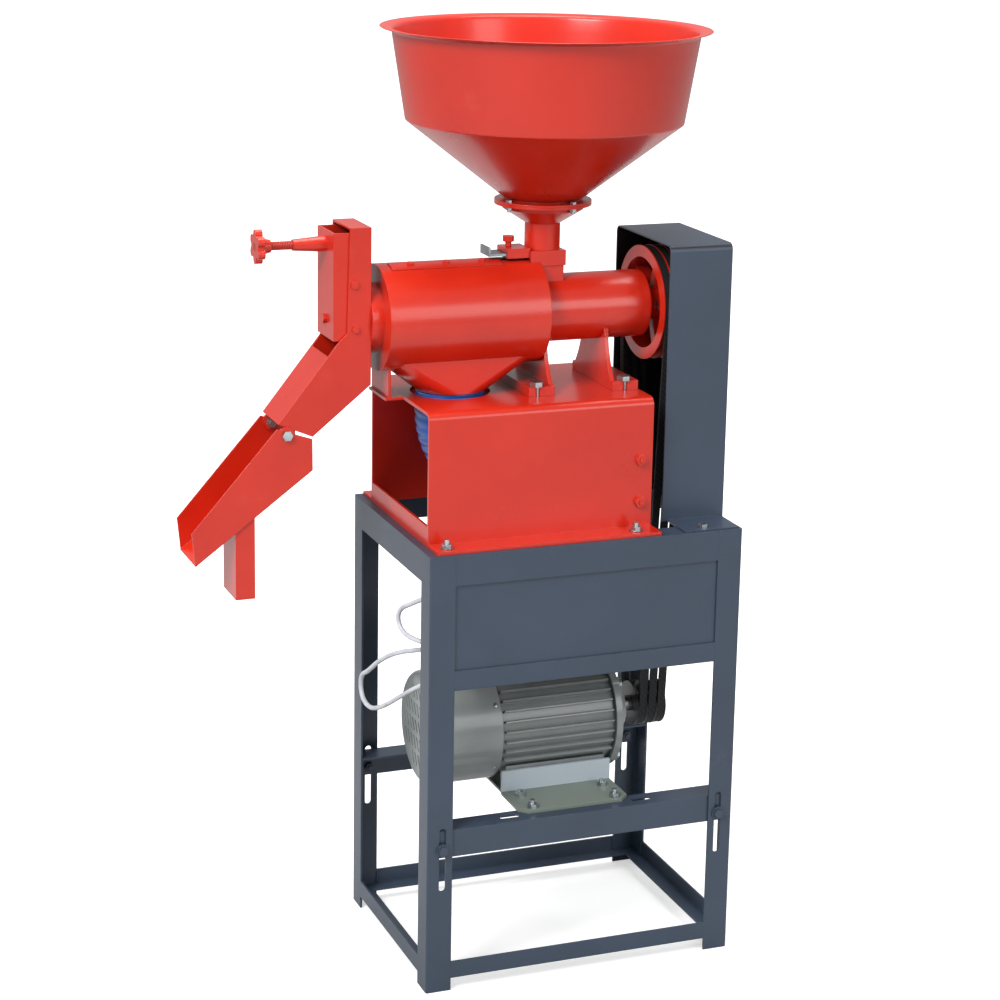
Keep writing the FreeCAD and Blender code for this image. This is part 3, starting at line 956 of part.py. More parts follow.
def pressure_gate():
    """Lever on the pin: its top is pushed by the pad, its plate closes the outlet's throat."""
    t, face = 3.0, OUT_X1 - OUT_T - FIT
    top = pad_front() + FIT
    arm_z, low = SPINDLE_Z + 3, SHAFT_Z - THROAT_R - 3
    eye = rod("y", PIN_R + 4.5, -11, 11, PIN_X, PIN_Z)
    nose = rod("y", 5, -9, 9, top + 5, SPINDLE_Z)
    arm = prism([(top + 3, SPINDLE_Z + 3), (top + 9, arm_z), (PIN_X + 6, PIN_Z + 3),
                 (PIN_X - 5, PIN_Z + 2), (top + 3, SPINDLE_Z - 3)], "y", -9, 9)
    link = prism([(PIN_X - 4, PIN_Z), (PIN_X + 6, PIN_Z + 2), (face, SHAFT_Z + THROAT_R + 2),
                  (face - t, SHAFT_Z + THROAT_R - 6)], "y", -9, 9)
    plate = box(face - t, face, -OUT_Y + OUT_T + COVER_T + 1.5, OUT_Y - OUT_T - COVER_T - 1.5,
                low, SHAFT_Z + THROAT_R + 2)
    return fuse([eye, nose, arm, link, plate]).cut(rod("y", PIN_R + RUN, -12, 12, PIN_X, PIN_Z))


def gate_pins():
    """Pin of the lever and the cover's screw, both through the box from side to side."""
    y = OUT_Y
    pin = fuse([rod("y", PIN_R, -y - 2.5, y + 2.5, PIN_X, PIN_Z),
                rod("y", PIN_R + 2, -y - 2.5, -y, PIN_X, PIN_Z),
                rod("y", PIN_R + 2, y, y + 2.5, PIN_X, PIN_Z)])
    x, z = cover_screw()
    out = [pin]
    for s in (-1, 1):
        inner = y - OUT_T - FIT - COVER_T
        out.append(fuse([hexagon("y", 5.7, *sorted((s * y, s * (y + 3))), x, z),
                         rod("y", 3, *sorted((s * inner, s * (y + 1))), x, z)]))
    return Part.makeCompound(out)


def gate_spring():
    """Coil spring on its bolt between the cover and the lever's plate."""
    x0, x1 = COVER_X0 + COVER_T + FIT, OUT_X1 - OUT_T - FIT - 3 - FIT
    w = SPRING_WIRE / 2
    coil = Part.makeHelix((x1 - x0 - 2 * w) / SPRING_TURNS, x1 - x0 - 2 * w, SPRING_R)
    at, way = V(SPRING_R, 0, 0), coil.Edges[0].tangentAt(coil.Edges[0].FirstParameter)
    out, up = V(1, 0, 0), way.cross(V(1, 0, 0))
    turn = [math.radians(45 * k + 22.5) for k in range(8)]
    ring = [at + out * (w * math.cos(a)) + up * (w * math.sin(a)) for a in turn]
    ring = Part.makePolygon(ring + ring[:1])
    spring = Part.Wire(coil).makePipeShell([ring], True, True)
    spring.rotate(V(0, 0, 0), V(0, 1, 0), 90)
    spring.translate(V(x0 + w, 0, SPRING_Z))
    return spring


def handwheel():
    """Lobed handwheel with its hub."""
    parts = [rod("x", WHEEL_R * 0.72, WHEEL_X0, WHEEL_X1, 0, SPINDLE_Z),
             turned([(WHEEL_X1 - 1, 0.0), (WHEEL_X1 - 1, 12.0), (WHEEL_X1 + 12, 9.0),
                     (WHEEL_X1 + 12, 0.0)], "x", 0, SPINDLE_Z)]
    for k in range(WHEEL_LOBES):
        a = 2 * math.pi * k / WHEEL_LOBES
        parts.append(rod("x", WHEEL_R * 0.28, WHEEL_X0, WHEEL_X1, WHEEL_R * 0.72 * math.sin(a),
                         SPINDLE_Z + WHEEL_R * 0.72 * math.cos(a)))
    return fuse(parts).cut(rod("x", SPINDLE_R + RUN, WHEEL_X0 - 1, WHEEL_X1 + 13, 0, SPINDLE_Z))


def lower_chute():
    """Open trough hung on two bolts, with the spout for the broken grains in its floor."""
    y0 = OUT_Y + TROUGH_GAP
    y1 = y0 + TROUGH_T
    side = [TROUGH_HEAD, TROUGH_TIP, TROUGH_TOE, TROUGH_REAR, TROUGH_NECK]
    parts = []
    for s in (-1, 1):
        span = sorted((s * y0, s * y1))
        parts.append(prism(side, "y", *span))
        parts.append(rod("y", EAR_R, *span, CHUTE_PIVOT_X, CHUTE_PIVOT_Z))
    parts.append(sheet(TROUGH_TOE, TROUGH_REAR, -TROUGH_T, y0 + TROUGH_T / 2))
    slope = (TROUGH_REAR[1] - TROUGH_TOE[1]) / (TROUGH_REAR[0] - TROUGH_TOE[0])
    top = [TROUGH_TOE[1] + slope * (x - TROUGH_TOE[0]) + 1
           for x in (BROKEN_X0, BROKEN_X0 + BROKEN_W)]
    t = TROUGH_T
    outer = prism([(BROKEN_X0, BROKEN_Z0), (BROKEN_X0 + BROKEN_W, BROKEN_Z0),
                   (BROKEN_X0 + BROKEN_W, top[1]), (BROKEN_X0, top[0])], "y", -OUT_Y, BROKEN_Y1)
    body = fuse(parts + [outer])
    bore = box(BROKEN_X0 + t, BROKEN_X0 + BROKEN_W - t, -OUT_Y + t, BROKEN_Y1 - t,
               BROKEN_Z0 - 1, top[1] + 10)
    body = body.cut(bore)
    return body.cut(rod("y", 4 + RUN, -y1 - 1, y1 + 1, CHUTE_PIVOT_X, CHUTE_PIVOT_Z))


def chute_bolts():
    out = []
    y = OUT_Y + TROUGH_GAP + TROUGH_T + SLIDE
    for s in (-1, 1):
        out.append(bolt("y", 4, s * y, s * (OUT_Y - OUT_T), CHUTE_PIVOT_X, CHUTE_PIVOT_Z, tail=1))
    return Part.makeCompound(out)


def outlet():
    save("outlet_housing", outlet_housing())
    save("outlet_cover", outlet_cover())
    save("pressure_gate", pressure_gate())
    save("gate_pins", gate_pins())
    save("gate_spring", gate_spring())
    tip = OUT_X1 - OUT_T - FIT - 3 - 15
    save("spring_bolt", fuse([hexagon("x", 7, COVER_X0 - 5, COVER_X0, 0, SPRING_Z),
                              rod("x", 3, COVER_X0 - 5, tip, 0, SPRING_Z)]))
    front = pad_front()
    pad = rod("x", PAD_R, front - PAD_L2, front, 0, SPINDLE_Z).cut(
        rod("x", 3.5 + RUN, front - PAD_L2 - 1, front - 2, 0, SPINDLE_Z))
    save("thrust_pad", pad)
    save("spindle", fuse([rod("x", SPINDLE_R, WHEEL_X0, front - PAD_L2 - FIT, 0, SPINDLE_Z),
                          rod("x", 3.5, front - PAD_L2 - 1, front - 2 - FIT, 0, SPINDLE_Z)]))
    save("handwheel", handwheel())
    save("lower_chute", lower_chute())
    save("chute_bolts", chute_bolts())


# ---------------------------------------------------------------- power lead
def power_lead():
    """Lead from the gland, out of the stand's open side in two loops, back to the coil."""
    tx0 = TERM_X - TERM_L / 2
    gz = TERM_Z + TERM_H / 2
    first = (tx0 - GLAND_L, 0.0, gz)
    # measured from the gland's outer end: (X, Y, Z) of each point of the route
    steps = [(0, 0, 0), (-26, -1, 1), (-56, -14, 8), (-92, -46, 16), (-118, -84, 22),
             (-140, -112, 22), (-166, -118, 12), (-184, -98, -4), (-194, -62, -28),
             (-201, -14, -58), (-205, 26, -76), (-207, 50, -78), (-208, 68, -72), (-208, 78, -55),
             (-208, 71, -36), (-206, 50, -26), (-200, 16, 2), (-188, -28, 28), (-166, -66, 42),
             (-140, -86, 48), (-124, -106, 52), (-130, -128, 58), (-156, -132, 64),
             (-180, -110, 70), (-192, -88, 73), (-197, -72, 80), (-199, -65, 95),
             (-197, -73, 110), (-192, -91, 120), (-180, -114, 134), (-160, -130, 146),
             (-134, -136, 154), (-94, -122, 154), (-52, -94, 136), (-16, -66, 104),
             (22, -44, 66), (58, -37, 34)]
    pts = [(first[0] + a, first[1] + b, first[2] + c) for a, b, c in steps]
    wire, radii = path_wire(pts)
    lead = tube_on(wire, LEAD_R)
    print("lead radii", radii, "length", round(wire.Length),
          "volume ratio", round(lead.Volume / (wire.Length * math.pi * LEAD_R ** 2), 4))
    return lead


def coil_z():
    return LID_Z + FIT + TIE_T + FIT + COIL_SECTION


def lead():
    save("power_lead", power_lead())
    cz, x = coil_z(), TERM_X
    save("lead_coil", Part.makeTorus(COIL_R, COIL_SECTION, V(x, 0, cz), V(0, 0, 1)))
    r = COIL_SECTION + FIT
    tie = pipe("y", r + TIE_T, r, -TIE_W / 2, TIE_W / 2, x + COIL_R, cz)
    save("coil_tie", tie)
    pz = cz + COIL_SECTION + FIT
    x0, x1 = x - PLUG_L / 2 + 3, x + PLUG_L / 2 + 3
    body = box(x0, x1, -PLUG_W / 2, PLUG_W / 2, pz, pz + PLUG_H)
    body = body.makeFillet(5, [e for e in body.Edges if e.BoundBox.XLength > 1])
    boot = Part.makeCone(5.5, 4.5, 24, V(x0 + 4, 0, pz + 9), V(-18, 0, -16.5))
    pins = [box(x1 - 1, x1 + PIN_L, s * 7 - 0.8, s * 7 + 0.8, pz + 13, pz + 19) for s in (-1, 1)]
    pins.append(box(x1 - 1, x1 + PIN_L + 2, -3, 3, pz + 4.2, pz + 5.8))
    save("plug", fuse([body, boot] + pins))


os.makedirs("parts", exist_ok=True)
stand()
motor()
mill()
feed()
outlet()
lead()
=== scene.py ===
import bpy, bmesh, math
from mathutils import Matrix, Vector, noise


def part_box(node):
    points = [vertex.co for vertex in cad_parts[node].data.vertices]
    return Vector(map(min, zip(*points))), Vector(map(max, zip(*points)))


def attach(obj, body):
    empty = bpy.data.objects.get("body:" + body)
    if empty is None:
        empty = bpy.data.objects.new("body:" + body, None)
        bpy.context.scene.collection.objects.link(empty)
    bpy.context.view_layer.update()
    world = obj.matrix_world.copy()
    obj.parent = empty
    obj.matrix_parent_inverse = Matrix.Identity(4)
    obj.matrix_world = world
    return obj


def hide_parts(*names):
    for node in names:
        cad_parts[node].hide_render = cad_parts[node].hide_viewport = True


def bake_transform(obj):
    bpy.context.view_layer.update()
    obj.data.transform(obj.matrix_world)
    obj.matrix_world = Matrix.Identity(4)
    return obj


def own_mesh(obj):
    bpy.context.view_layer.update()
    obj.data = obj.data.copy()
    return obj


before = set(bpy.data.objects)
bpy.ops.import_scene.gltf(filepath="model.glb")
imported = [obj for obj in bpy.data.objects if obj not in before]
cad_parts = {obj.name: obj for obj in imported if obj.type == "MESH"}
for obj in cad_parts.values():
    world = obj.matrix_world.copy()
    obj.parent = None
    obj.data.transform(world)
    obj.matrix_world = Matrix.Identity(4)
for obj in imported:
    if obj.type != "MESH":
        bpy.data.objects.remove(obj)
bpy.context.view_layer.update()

# ------------------------------------------------------------------ camera
# The viewpoint: in front and to the left of the machine, a little above the hopper's rim,
# looking down by about 14 degrees through a long lens.
camera = bpy.data.objects.new("camera", bpy.data.cameras.new("camera"))
bpy.context.collection.objects.link(camera)
camera.data.sensor_width, camera.data.lens = 36, 91.44
camera.data.shift_x, camera.data.shift_y = -0.02099, -0.08901
camera.data.clip_start, camera.data.clip_end = 0.1, 200
look = Matrix.Rotation(-0.3771, 4, "Z") @ Matrix.Rotation(math.pi / 2 - 0.2388, 4, "X")
camera.matrix_world = (Matrix.Translation((-1.21397, -3.34574, 1.68812)) @ look
                       @ Matrix.Rotation(0.0197, 4, "Z"))
bpy.context.scene.camera = camera
bpy.context.scene.view_settings.view_transform = "Standard"


# ------------------------------------------------------------------ power lead
# Mains lead in a white PVC sheath, 7 mm thick.  It leaves the gland on the terminal box, comes out
# of the stand's open left side in two loops and goes back in; the rest is tied in a coil on the box.
def new_object(name, data, body, *nodes):
    """A piece that rides on a body and stands for the CAD nodes named."""
    piece = bpy.data.objects.new(name, data)
    bpy.context.collection.objects.link(piece)
    if nodes:
        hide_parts(*nodes)
    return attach(piece, body)


def linear(hex_colour):
    """An sRGB hex colour as linear RGBA."""
    parts = [int(hex_colour[i:i + 2], 16) / 255 for i in (0, 2, 4)]
    return [c / 12.92 if c <= 0.04045 else ((c + 0.055) / 1.055) ** 2.4 for c in parts] + [1.0]


def add(mat, kind, inputs=None, **settings):
    """Adds a shader node to a material with its settings and its values or links."""
    node = mat.node_tree.nodes.new("ShaderNode" + kind)
    for key, value in settings.items():
        setattr(node, key, value)
    for key, value in (inputs or {}).items():
        if isinstance(value, bpy.types.NodeSocket):
            mat.node_tree.links.new(value, node.inputs[key])
        else:
            node.inputs[key].default_value = value
    return node


def material(name, **values):
    """A material with one principled shader, its fixed values set on the shader itself."""
    mat = bpy.data.materials.new(name)
    mat.use_nodes = True
    shader = mat.node_tree.nodes["Principled BSDF"]
    for key, value in values.items():
        shader.inputs[key.replace("_", " ")].default_value = value
    return mat, shader


def link(mat, source, target):
    mat.node_tree.links.new(source, target)


# white PVC: soft gloss, faintly dull where it has been handled
sheath, shader = material("white_pvc_sheath", IOR=1.5, Roughness=0.38)
place = add(sheath, "TexCoord").outputs["Object"]
grime_and_shade = add(sheath, "TexNoise", {"Vector": place, "Scale": 60.0, "Detail": 4.0})
tone = add(sheath, "ValToRGB", {"Fac": grime_and_shade.outputs["Fac"]})
tone.color_ramp.elements[0].color, tone.color_ramp.elements[0].position = linear("CFD2DC"), 0.3
tone.color_ramp.elements[1].color, tone.color_ramp.elements[1].position = linear("E6E8EF"), 0.6
link(sheath, tone.outputs["Color"], shader.inputs["Base Color"])
ripple = add(sheath, "Bump", {"Height": grime_and_shade.outputs["Fac"], "Strength": 0.15, "Distance": 0.0004})
link(sheath, ripple.outputs["Normal"], shader.inputs["Normal"])

gland_end = Vector((0.1005, 0.0, 0.444))
lead_steps = [
    (0, 0, 0), (-26, -1, 1), (-56, -14, 8), (-92, -46, 16), (-118, -84, 22), (-140, -112, 22),
    (-166, -118, 12), (-184, -98, -4), (-194, -62, -28), (-201, -14, -58), (-205, 26, -76),
    (-207, 50, -78), (-208, 68, -72), (-208, 78, -55), (-208, 71, -36), (-206, 50, -26),
    (-200, 16, 2), (-188, -28, 28), (-166, -66, 42), (-140, -86, 48), (-124, -106, 52),
    (-130, -128, 58), (-156, -132, 64), (-180, -110, 70), (-192, -88, 73), (-197, -72, 80),
    (-199, -65, 95), (-197, -73, 110), (-192, -91, 120), (-180, -114, 134), (-160, -130, 146),
    (-134, -136, 154), (-94, -122, 154), (-52, -94, 136), (-16, -68, 104), (22, -50, 66)]
route = [gland_end + Vector(p) / 1000 for p in lead_steps]
coil_middle, coil_radius, layer = Vector((0.1625, 0.0, 0.4766)), 0.038, 0.0036
# the turns lie two by two: outside and inside below, then inside and outside above
turns = [(layer, -layer), (-layer, -layer), (-layer, layer), (layer, layer)]
for step in range(1, 46):
    turn = min(step / 12, 3.99)
    low, high, share = turns[int(turn)], turns[min(int(turn) + 1, 3)], max(0, (turn % 1 - 0.7) / 0.3)
    out = low[0] + (high[0] - low[0]) * share
    up = low[1] + (high[1] - low[1]) * share
    angle = math.radians(255 + 30 * step)
    route.append(coil_middle + Vector(((coil_radius + out) * math.cos(angle),
                                       (coil_radius + out) * math.sin(angle), up)))
route += [Vector((0.1255, -0.0125, 0.4852)), Vector((0.1335, -0.0285, 0.4885)),
          Vector((0.1465, -0.0330, 0.4900)), Vector((0.1560, -0.0322, 0.4925))]
curve = bpy.data.curves.new("power_lead", "CURVE")
curve.dimensions, curve.bevel_depth, curve.bevel_resolution = "3D", 0.0035, 4
curve.resolution_u, curve.use_fill_caps = 8, True
spline = curve.splines.new("NURBS")
spline.points.add(len(route) - 1)
for point, at in zip(spline.points, route):
    point.co = (*at, 1)
spline.order_u, spline.use_endpoint_u = 3, True
curve.materials.append(sheath)
lead = new_object("mains_lead", curve, "motor_platform", "power_lead", "lead_coil")


# ------------------------------------------------------------------ on the lead: gland, plug, tie
# The gland is black nylon with a tapered rubber sleeve on the lead; the plug and the twist tie
# of the coil are white PVC.  All of it lies on, or is screwed to, the terminal box.
def dress(mat, *names):
    """Gives CAD nodes a material, smooth curved faces and crisp edges."""
    for name in names:
        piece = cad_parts[name]
        if not piece.material_slots:
            piece.data.materials.append(None)
        for place in piece.material_slots:
            place.link, place.material = "OBJECT", mat
        for face in piece.data.polygons:
            face.use_smooth = True
        piece.modifiers.new("weld", "WELD").merge_threshold = 0.00002
        piece.modifiers.new("edges", "EDGE_SPLIT").split_angle = math.radians(30)


def finish_data(name, bm, mat, sharp=35):
    """Welds a mesh, turns its faces outwards and shades it smooth between its edges."""
    bmesh.ops.remove_doubles(bm, verts=bm.verts, dist=0.000004)
    bmesh.ops.recalc_face_normals(bm, faces=bm.faces)
    data = bpy.data.meshes.new(name)
    bm.to_mesh(data)
    bm.free()
    data.materials.append(mat)
    for face in data.polygons:
        face.use_smooth = True
    data.set_sharp_from_angle(angle=math.radians(sharp))
    return data


def finish_mesh(name, bm, mat, body, slot, *nodes, sharp=35):
    """Finishes a mesh and lets it ride on its body."""
    piece = new_object(name, finish_data(name, bm, mat, sharp), body, *nodes)
    return piece


def turn_to(axis):
    """Turns +Z to the axis given as a letter or a direction."""
    way = {"x": (1, 0, 0), "y": (0, 1, 0), "z": (0, 0, 1)}[axis] if isinstance(axis, str) else axis
    return Vector((0, 0, 1)).rotation_difference(Vector(way)).to_matrix().to_4x4()


def barrel(bm, axis, middle, radius, length, end_radius=None, sides=32, edge=0.0):
    """A cylinder or cone round its middle point, its rims rounded by edge."""
    end_radius = radius if end_radius is None else end_radius
    made = bmesh.ops.create_cone(bm, cap_ends=True, segments=sides, radius1=radius,
                                 radius2=end_radius, depth=length,
                                 matrix=Matrix.Translation(middle) @ turn_to(axis))
    if edge:
        caps = {f for v in made["verts"] for f in v.link_faces if len(f.verts) > 4 or sides < 5}
        rims = list({e for f in caps for e in f.edges})
        bmesh.ops.bevel(bm, geom=rims, offset=edge, segments=3, profile=0.5, affect="EDGES",
                        material=-1)


nylon, shader = material("black_nylon", IOR=1.53, Roughness=0.45)
place = add(nylon, "TexCoord").outputs["Object"]
grain = add(nylon, "TexNoise", {"Vector": place, "Scale": 900.0, "Detail": 2.0})
tone = add(nylon, "ValToRGB", {"Fac": grain.outputs["Fac"]})
tone.color_ramp.elements[0].color, tone.color_ramp.elements[1].color = linear("16171A"), linear("25272B")
link(nylon, tone.outputs["Color"], shader.inputs["Base Color"])
rough = add(nylon, "Bump", {"Height": grain.outputs["Fac"], "Strength": 0.3, "Distance": 0.0003})
link(nylon, rough.outputs["Normal"], shader.inputs["Normal"])
dress(nylon, "cable_gland")
dress(sheath, "plug", "coil_tie")

bm = bmesh.new()
lead_way = Vector((-1, -0.03, 0.03)).normalized()
for start, long, near, far in ((0.0, 0.006, 0.0062, 0.0060), (0.006, 0.005, 0.0056, 0.0056),
                               (0.011, 0.005, 0.0053, 0.0051), (0.016, 0.012, 0.0049, 0.0041)):
    barrel(bm, lead_way, gland_end + lead_way * (start + long / 2), near, long, far, edge=0.0004)
sleeve = finish_mesh("lead_sleeve", bm, nylon, "motor_platform", "black_plastic")


# ------------------------------------------------------------------ stand
# Four legs and three rings of 38 mm mild-steel angle, arc-welded at the corners, with a thin
# front panel; sprayed all over in satin blue-grey alkyd enamel.
def paint(name, colour, deep, bare, rough, coat, peel=0.00012, wear=0.5, grime_and_shade=0.0, clear=0.85):
    """Sprayed paint: slow drift of tone, orange peel about 3 mm wide, worn thin on sharp edges,
    and painted shade, near black, in hollows about grime_and_shade wide, ending where the share clear is
    open."""
    mat, shader = material(name, IOR=1.5, Coat_Weight=coat, Coat_Roughness=0.15)
    place = add(mat, "TexCoord").outputs["Object"]
    drift = add(mat, "TexNoise", {"Vector": place, "Scale": 6.0, "Detail": 5.0, "Roughness": 0.55})
    tone = add(mat, "ValToRGB", {"Fac": drift.outputs["Fac"]})
    tone.color_ramp.elements[0].position, tone.color_ramp.elements[1].position = 0.3, 0.7
    tone.color_ramp.elements[0].color, tone.color_ramp.elements[1].color = linear(deep), linear(colour)
    # the paint's edge: where the surface turns within 1.5 mm
    turned = add(mat, "Bevel", {"Radius": 0.0015}, samples=4).outputs["Normal"]
    flat = add(mat, "NewGeometry").outputs["Normal"]
    edge = add(mat, "VectorMath", {0: turned, 1: flat}, operation="DOT_PRODUCT").outputs["Value"]
    edge = add(mat, "MapRange", {"Value": edge, "From Min": 0.985, "From Max": 0.80}).outputs["Result"]
    nicks = add(mat, "TexNoise", {"Vector": place, "Scale": 55.0, "Detail": 6.0})
    nicks = add(mat, "MapRange", {"Value": nicks.outputs["Fac"], "From Min": 0.5, "From Max": 0.68})
    worn = add(mat, "Math", {0: edge, 1: nicks.outputs["Result"]}, operation="MULTIPLY").outputs[0]
    worn = add(mat, "Math", {0: worn, 1: wear}, operation="MULTIPLY").outputs[0]
    # a few faint rubbed patches on the open faces
    rub = add(mat, "TexNoise", {"Vector": place, "Scale": 14.0, "Detail": 8.0, "Roughness": 0.7})
    rub = add(mat, "MapRange", {"Value": rub.outputs["Fac"], "From Min": 0.62, "From Max": 0.74,
                                "To Max": 0.16}).outputs["Result"]
    worn = add(mat, "Math", {0: worn, 1: rub}, operation="MAXIMUM").outputs[0]
    mixed = add(mat, "Mix", {0: worn, 6: tone.outputs["Color"], 7: linear(bare)}, data_type="RGBA")
    # painted shade: ambient occlusion within grime_and_shade pulls the colour towards near-black 1A1C1E
    # in hollows, creases and between parts
    if grime_and_shade:
        hollow_shade = add(mat, "AmbientOcclusion", {"Distance": grime_and_shade}, samples=8).outputs["AO"]
        hollow_shade = add(mat, "MapRange", {"Value": hollow_shade, "From Min": clear - 0.55, "From Max": clear,
                                       "To Min": 0.85, "To Max": 0.0}).outputs["Result"]
        mixed = add(mat, "Mix", {0: hollow_shade, 6: mixed.outputs[2], 7: linear("1A1C1E")},
                    data_type="RGBA")
    link(mat, mixed.outputs[2], shader.inputs["Base Color"])
    gloss = add(mat, "MapRange", {"Value": drift.outputs["Fac"], "To Min": rough * 0.85,
                                  "To Max": rough * 1.2})
    link(mat, gloss.outputs["Result"], shader.inputs["Roughness"])
    skin = add(mat, "TexNoise", {"Vector": place, "Scale": 330.0, "Detail": 1.0})
    wave = add(mat, "TexNoise", {"Vector": place, "Scale": 28.0, "Detail": 2.0})
    height = add(mat, "Math", {0: skin.outputs["Fac"], 1: wave.outputs["Fac"]}, operation="ADD")
    skin = add(mat, "Bump", {"Height": height.outputs[0], "Normal": turned, "Strength": 0.5,
                             "Distance": peel})
    link(mat, skin.outputs["Normal"], shader.inputs["Normal"])
    return mat


def weld_bead(bm, start, end, width=0.005):
    """A run of overlapping ripples, as arc welding leaves them."""
    start, end = Vector(start), Vector(end)
    count = max(3, int((end - start).length / (0.55 * width)))
    for k in range(count + 1):
        at = start.lerp(end, k / count)
        size = width / 2 * (0.85 + 0.3 * noise.noise(at * 400))
        bmesh.ops.create_icosphere(bm, subdivisions=2, radius=size, matrix=Matrix.Translation(at))


grey = paint("satin_enamel_blue_grey", "3C4A5D", "344152", "66727F", 0.42, 0.1)
dress(grey, "leg_front_left", "leg_front_right", "leg_rear_left", "leg_rear_right", "top_rails",
      "bottom_rails", "panel_rail", "front_panel")

bm = bmesh.new()
stand_low, stand_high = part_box("leg_front_left")[0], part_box("leg_rear_right")[1]
edge, face = 0.0385, 0.0036
for side, leg_x in ((1, stand_low.x), (-1, stand_high.x)):
    for front, leg_y in ((1, stand_low.y), (-1, stand_high.y)):
        x, y = leg_x + side * edge, leg_y + front * edge
        for low, high in ((0.0215, 0.041), (0.618, 0.650)):
            weld_bead(bm, (x, leg_y + front * face, low), (x, leg_y + front * face, high))
            weld_bead(bm, (leg_x + side * face, y, low), (leg_x + side * face, y, high))
finish_mesh("stand_welds", bm, grey, "stand", "grey_paint")


# ------------------------------------------------------------------ motor platform
# Two rails of the same angle carry the motor between the legs; M10 bolts clamp them in the
# slots.  Bolts are zinc-plated steel with a faint blue passivation, a little dull in the threads.
def plated(name, light, dark, rough):
    """Machined or plated steel with faint streaks and finger-dull patches."""
    mat, shader = material(name, Metallic=1.0)
    place = add(mat, "TexCoord").outputs["Object"]
    cloud = add(mat, "TexNoise", {"Vector": place, "Scale": 90.0, "Detail": 5.0})
    tone = add(mat, "ValToRGB", {"Fac": cloud.outputs["Fac"]})
    tone.color_ramp.elements[0].position, tone.color_ramp.elements[1].position = 0.35, 0.65
    tone.color_ramp.elements[0].color, tone.color_ramp.elements[1].color = linear(dark), linear(light)
    link(mat, tone.outputs["Color"], shader.inputs["Base Color"])
    dull = add(mat, "MapRange", {"Value": cloud.outputs["Fac"], "To Min": rough * 0.7,
                                 "To Max": rough * 1.5})
    link(mat, dull.outputs["Result"], shader.inputs["Roughness"])
    soft = add(mat, "Bevel", {"Radius": 0.0006}, samples=4).outputs["Normal"]
    fine = add(mat, "TexNoise", {"Vector": place, "Scale": 700.0, "Detail": 2.0})
    tool = add(mat, "Bump", {"Height": fine.outputs["Fac"], "Normal": soft, "Strength": 0.25,
                             "Distance": 0.0001})
    link(mat, tool.outputs["Normal"], shader.inputs["Normal"])
    return mat


zinc = plated("zinc_plated_steel", "C3CACD", "9AA1A6", 0.3)
dress(grey, "motor_rail_front", "motor_rail_rear", "rail_bolts")
dress(zinc, "motor_bolts")


# ------------------------------------------------------------------ motor
# Cast and extruded aluminium body and end shields in grey-green hammer-finish enamel; pressed
# steel fan cover; feet in paler zinc-rich paint; steel terminal box on top.
# grime_and_shade=0.012 paints shade, near black, into the grooves between the fins and the joins of the
# motor's parts
hammer = paint("hammer_finish_enamel_grey_green", "A3AAA8", "868E8E", "C2C7C8", 0.28, 0.35,
               peel=0.0003, grime_and_shade=0.012)
feet_paint = paint("zinc_rich_paint_pale", "CDD8E0", "BBC8D1", "E0E6EA", 0.42, 0.0)
# below the top of the feet's flanges the colour is a darker grey-green, 7D887E
strap, flange = 0.004, 0.0055
flange_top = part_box("motor_feet")[0].z + strap + flange
place = add(feet_paint, "TexCoord").outputs["Object"]
height = add(feet_paint, "SeparateXYZ", {0: place}).outputs["Z"]
low = add(feet_paint, "Math", {0: height, 1: flange_top}, operation="LESS_THAN").outputs[0]
colour = feet_paint.node_tree.nodes["Principled BSDF"].inputs["Base Color"]
both = add(feet_paint, "Mix", {0: low, 6: colour.links[0].from_socket, 7: linear("7D887E")},
           data_type="RGBA")
link(feet_paint, both.outputs[2], colour)
dress(hammer, "motor_stator", "drive_end_shield", "fan_end_shield", "fan_cover", "terminal_box",
      "terminal_box_lid")
dress(feet_paint, "motor_feet")
steel = plated("machined_steel", "B9BABB", "8D8F92", 0.28)
dress(steel, "rotor_shaft", "motor_bearings")
dress(nylon, "cooling_fan")

bm = bmesh.new()
lid_low, lid_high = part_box("terminal_box_lid")
inset = 0.007
for x in (lid_low.x + inset, lid_high.x - inset):
    for y in (lid_low.y + inset, lid_high.y - inset):
        barrel(bm, "z", (x, y, lid_high.z + 0.0008), 0.0036, 0.0024, edge=0.0008)
motor_axis = Vector((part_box("fan_cover")[1].x - 0.008, 0, 0.340))
cover_radius = 0.0852
for angle in (35, 145, 215, 325):
    a = math.radians(angle)
    way = Vector((0, math.cos(a), math.sin(a)))
    barrel(bm, way, motor_axis + way * cover_radius, 0.0034, 0.0024, edge=0.0008)
finish_mesh("motor_screws", bm, zinc, "motor_platform", "zinc")

brass = plated("brass_earth_screw", "C9A24A", "A8853A", 0.3)
bm = bmesh.new()
earth_at = Vector((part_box("motor_feet")[0].x + 0.006, -0.0678, 0.268))
barrel(bm, "y", earth_at, 0.0052, 0.002, sides=24, edge=0.0005)
barrel(bm, "y", earth_at - Vector((0, 0.002, 0)), 0.0036, 0.003, sides=6, edge=0.0004)
finish_mesh("earth_screw", bm, brass, "motor_platform", "zinc")


# ------------------------------------------------------------------ belts and motor pulley
# Three A-section V-belts, black rubber with a cloth wrap, run in cast-iron pulleys.  The motor
# pulley is enamelled black.
def extruded(bm, geom, move):
    """Draws the open loop of edges in geom on by a vector and gives the new loop."""
    made = bmesh.ops.extrude_edge_only(
        bm, edges=[g for g in geom if isinstance(g, bmesh.types.BMEdge)])["geom"]
    verts = [g for g in made if isinstance(g, bmesh.types.BMVert)]
    edges = [g for g in made if isinstance(g, bmesh.types.BMEdge) and all(v in verts for v in g.verts)]
    bmesh.ops.translate(bm, verts=verts, vec=move)
    return verts + edges


rubber, shader = material("wrapped_rubber_belt", IOR=1.52, Roughness=0.72)
place = add(rubber, "TexCoord").outputs["Object"]
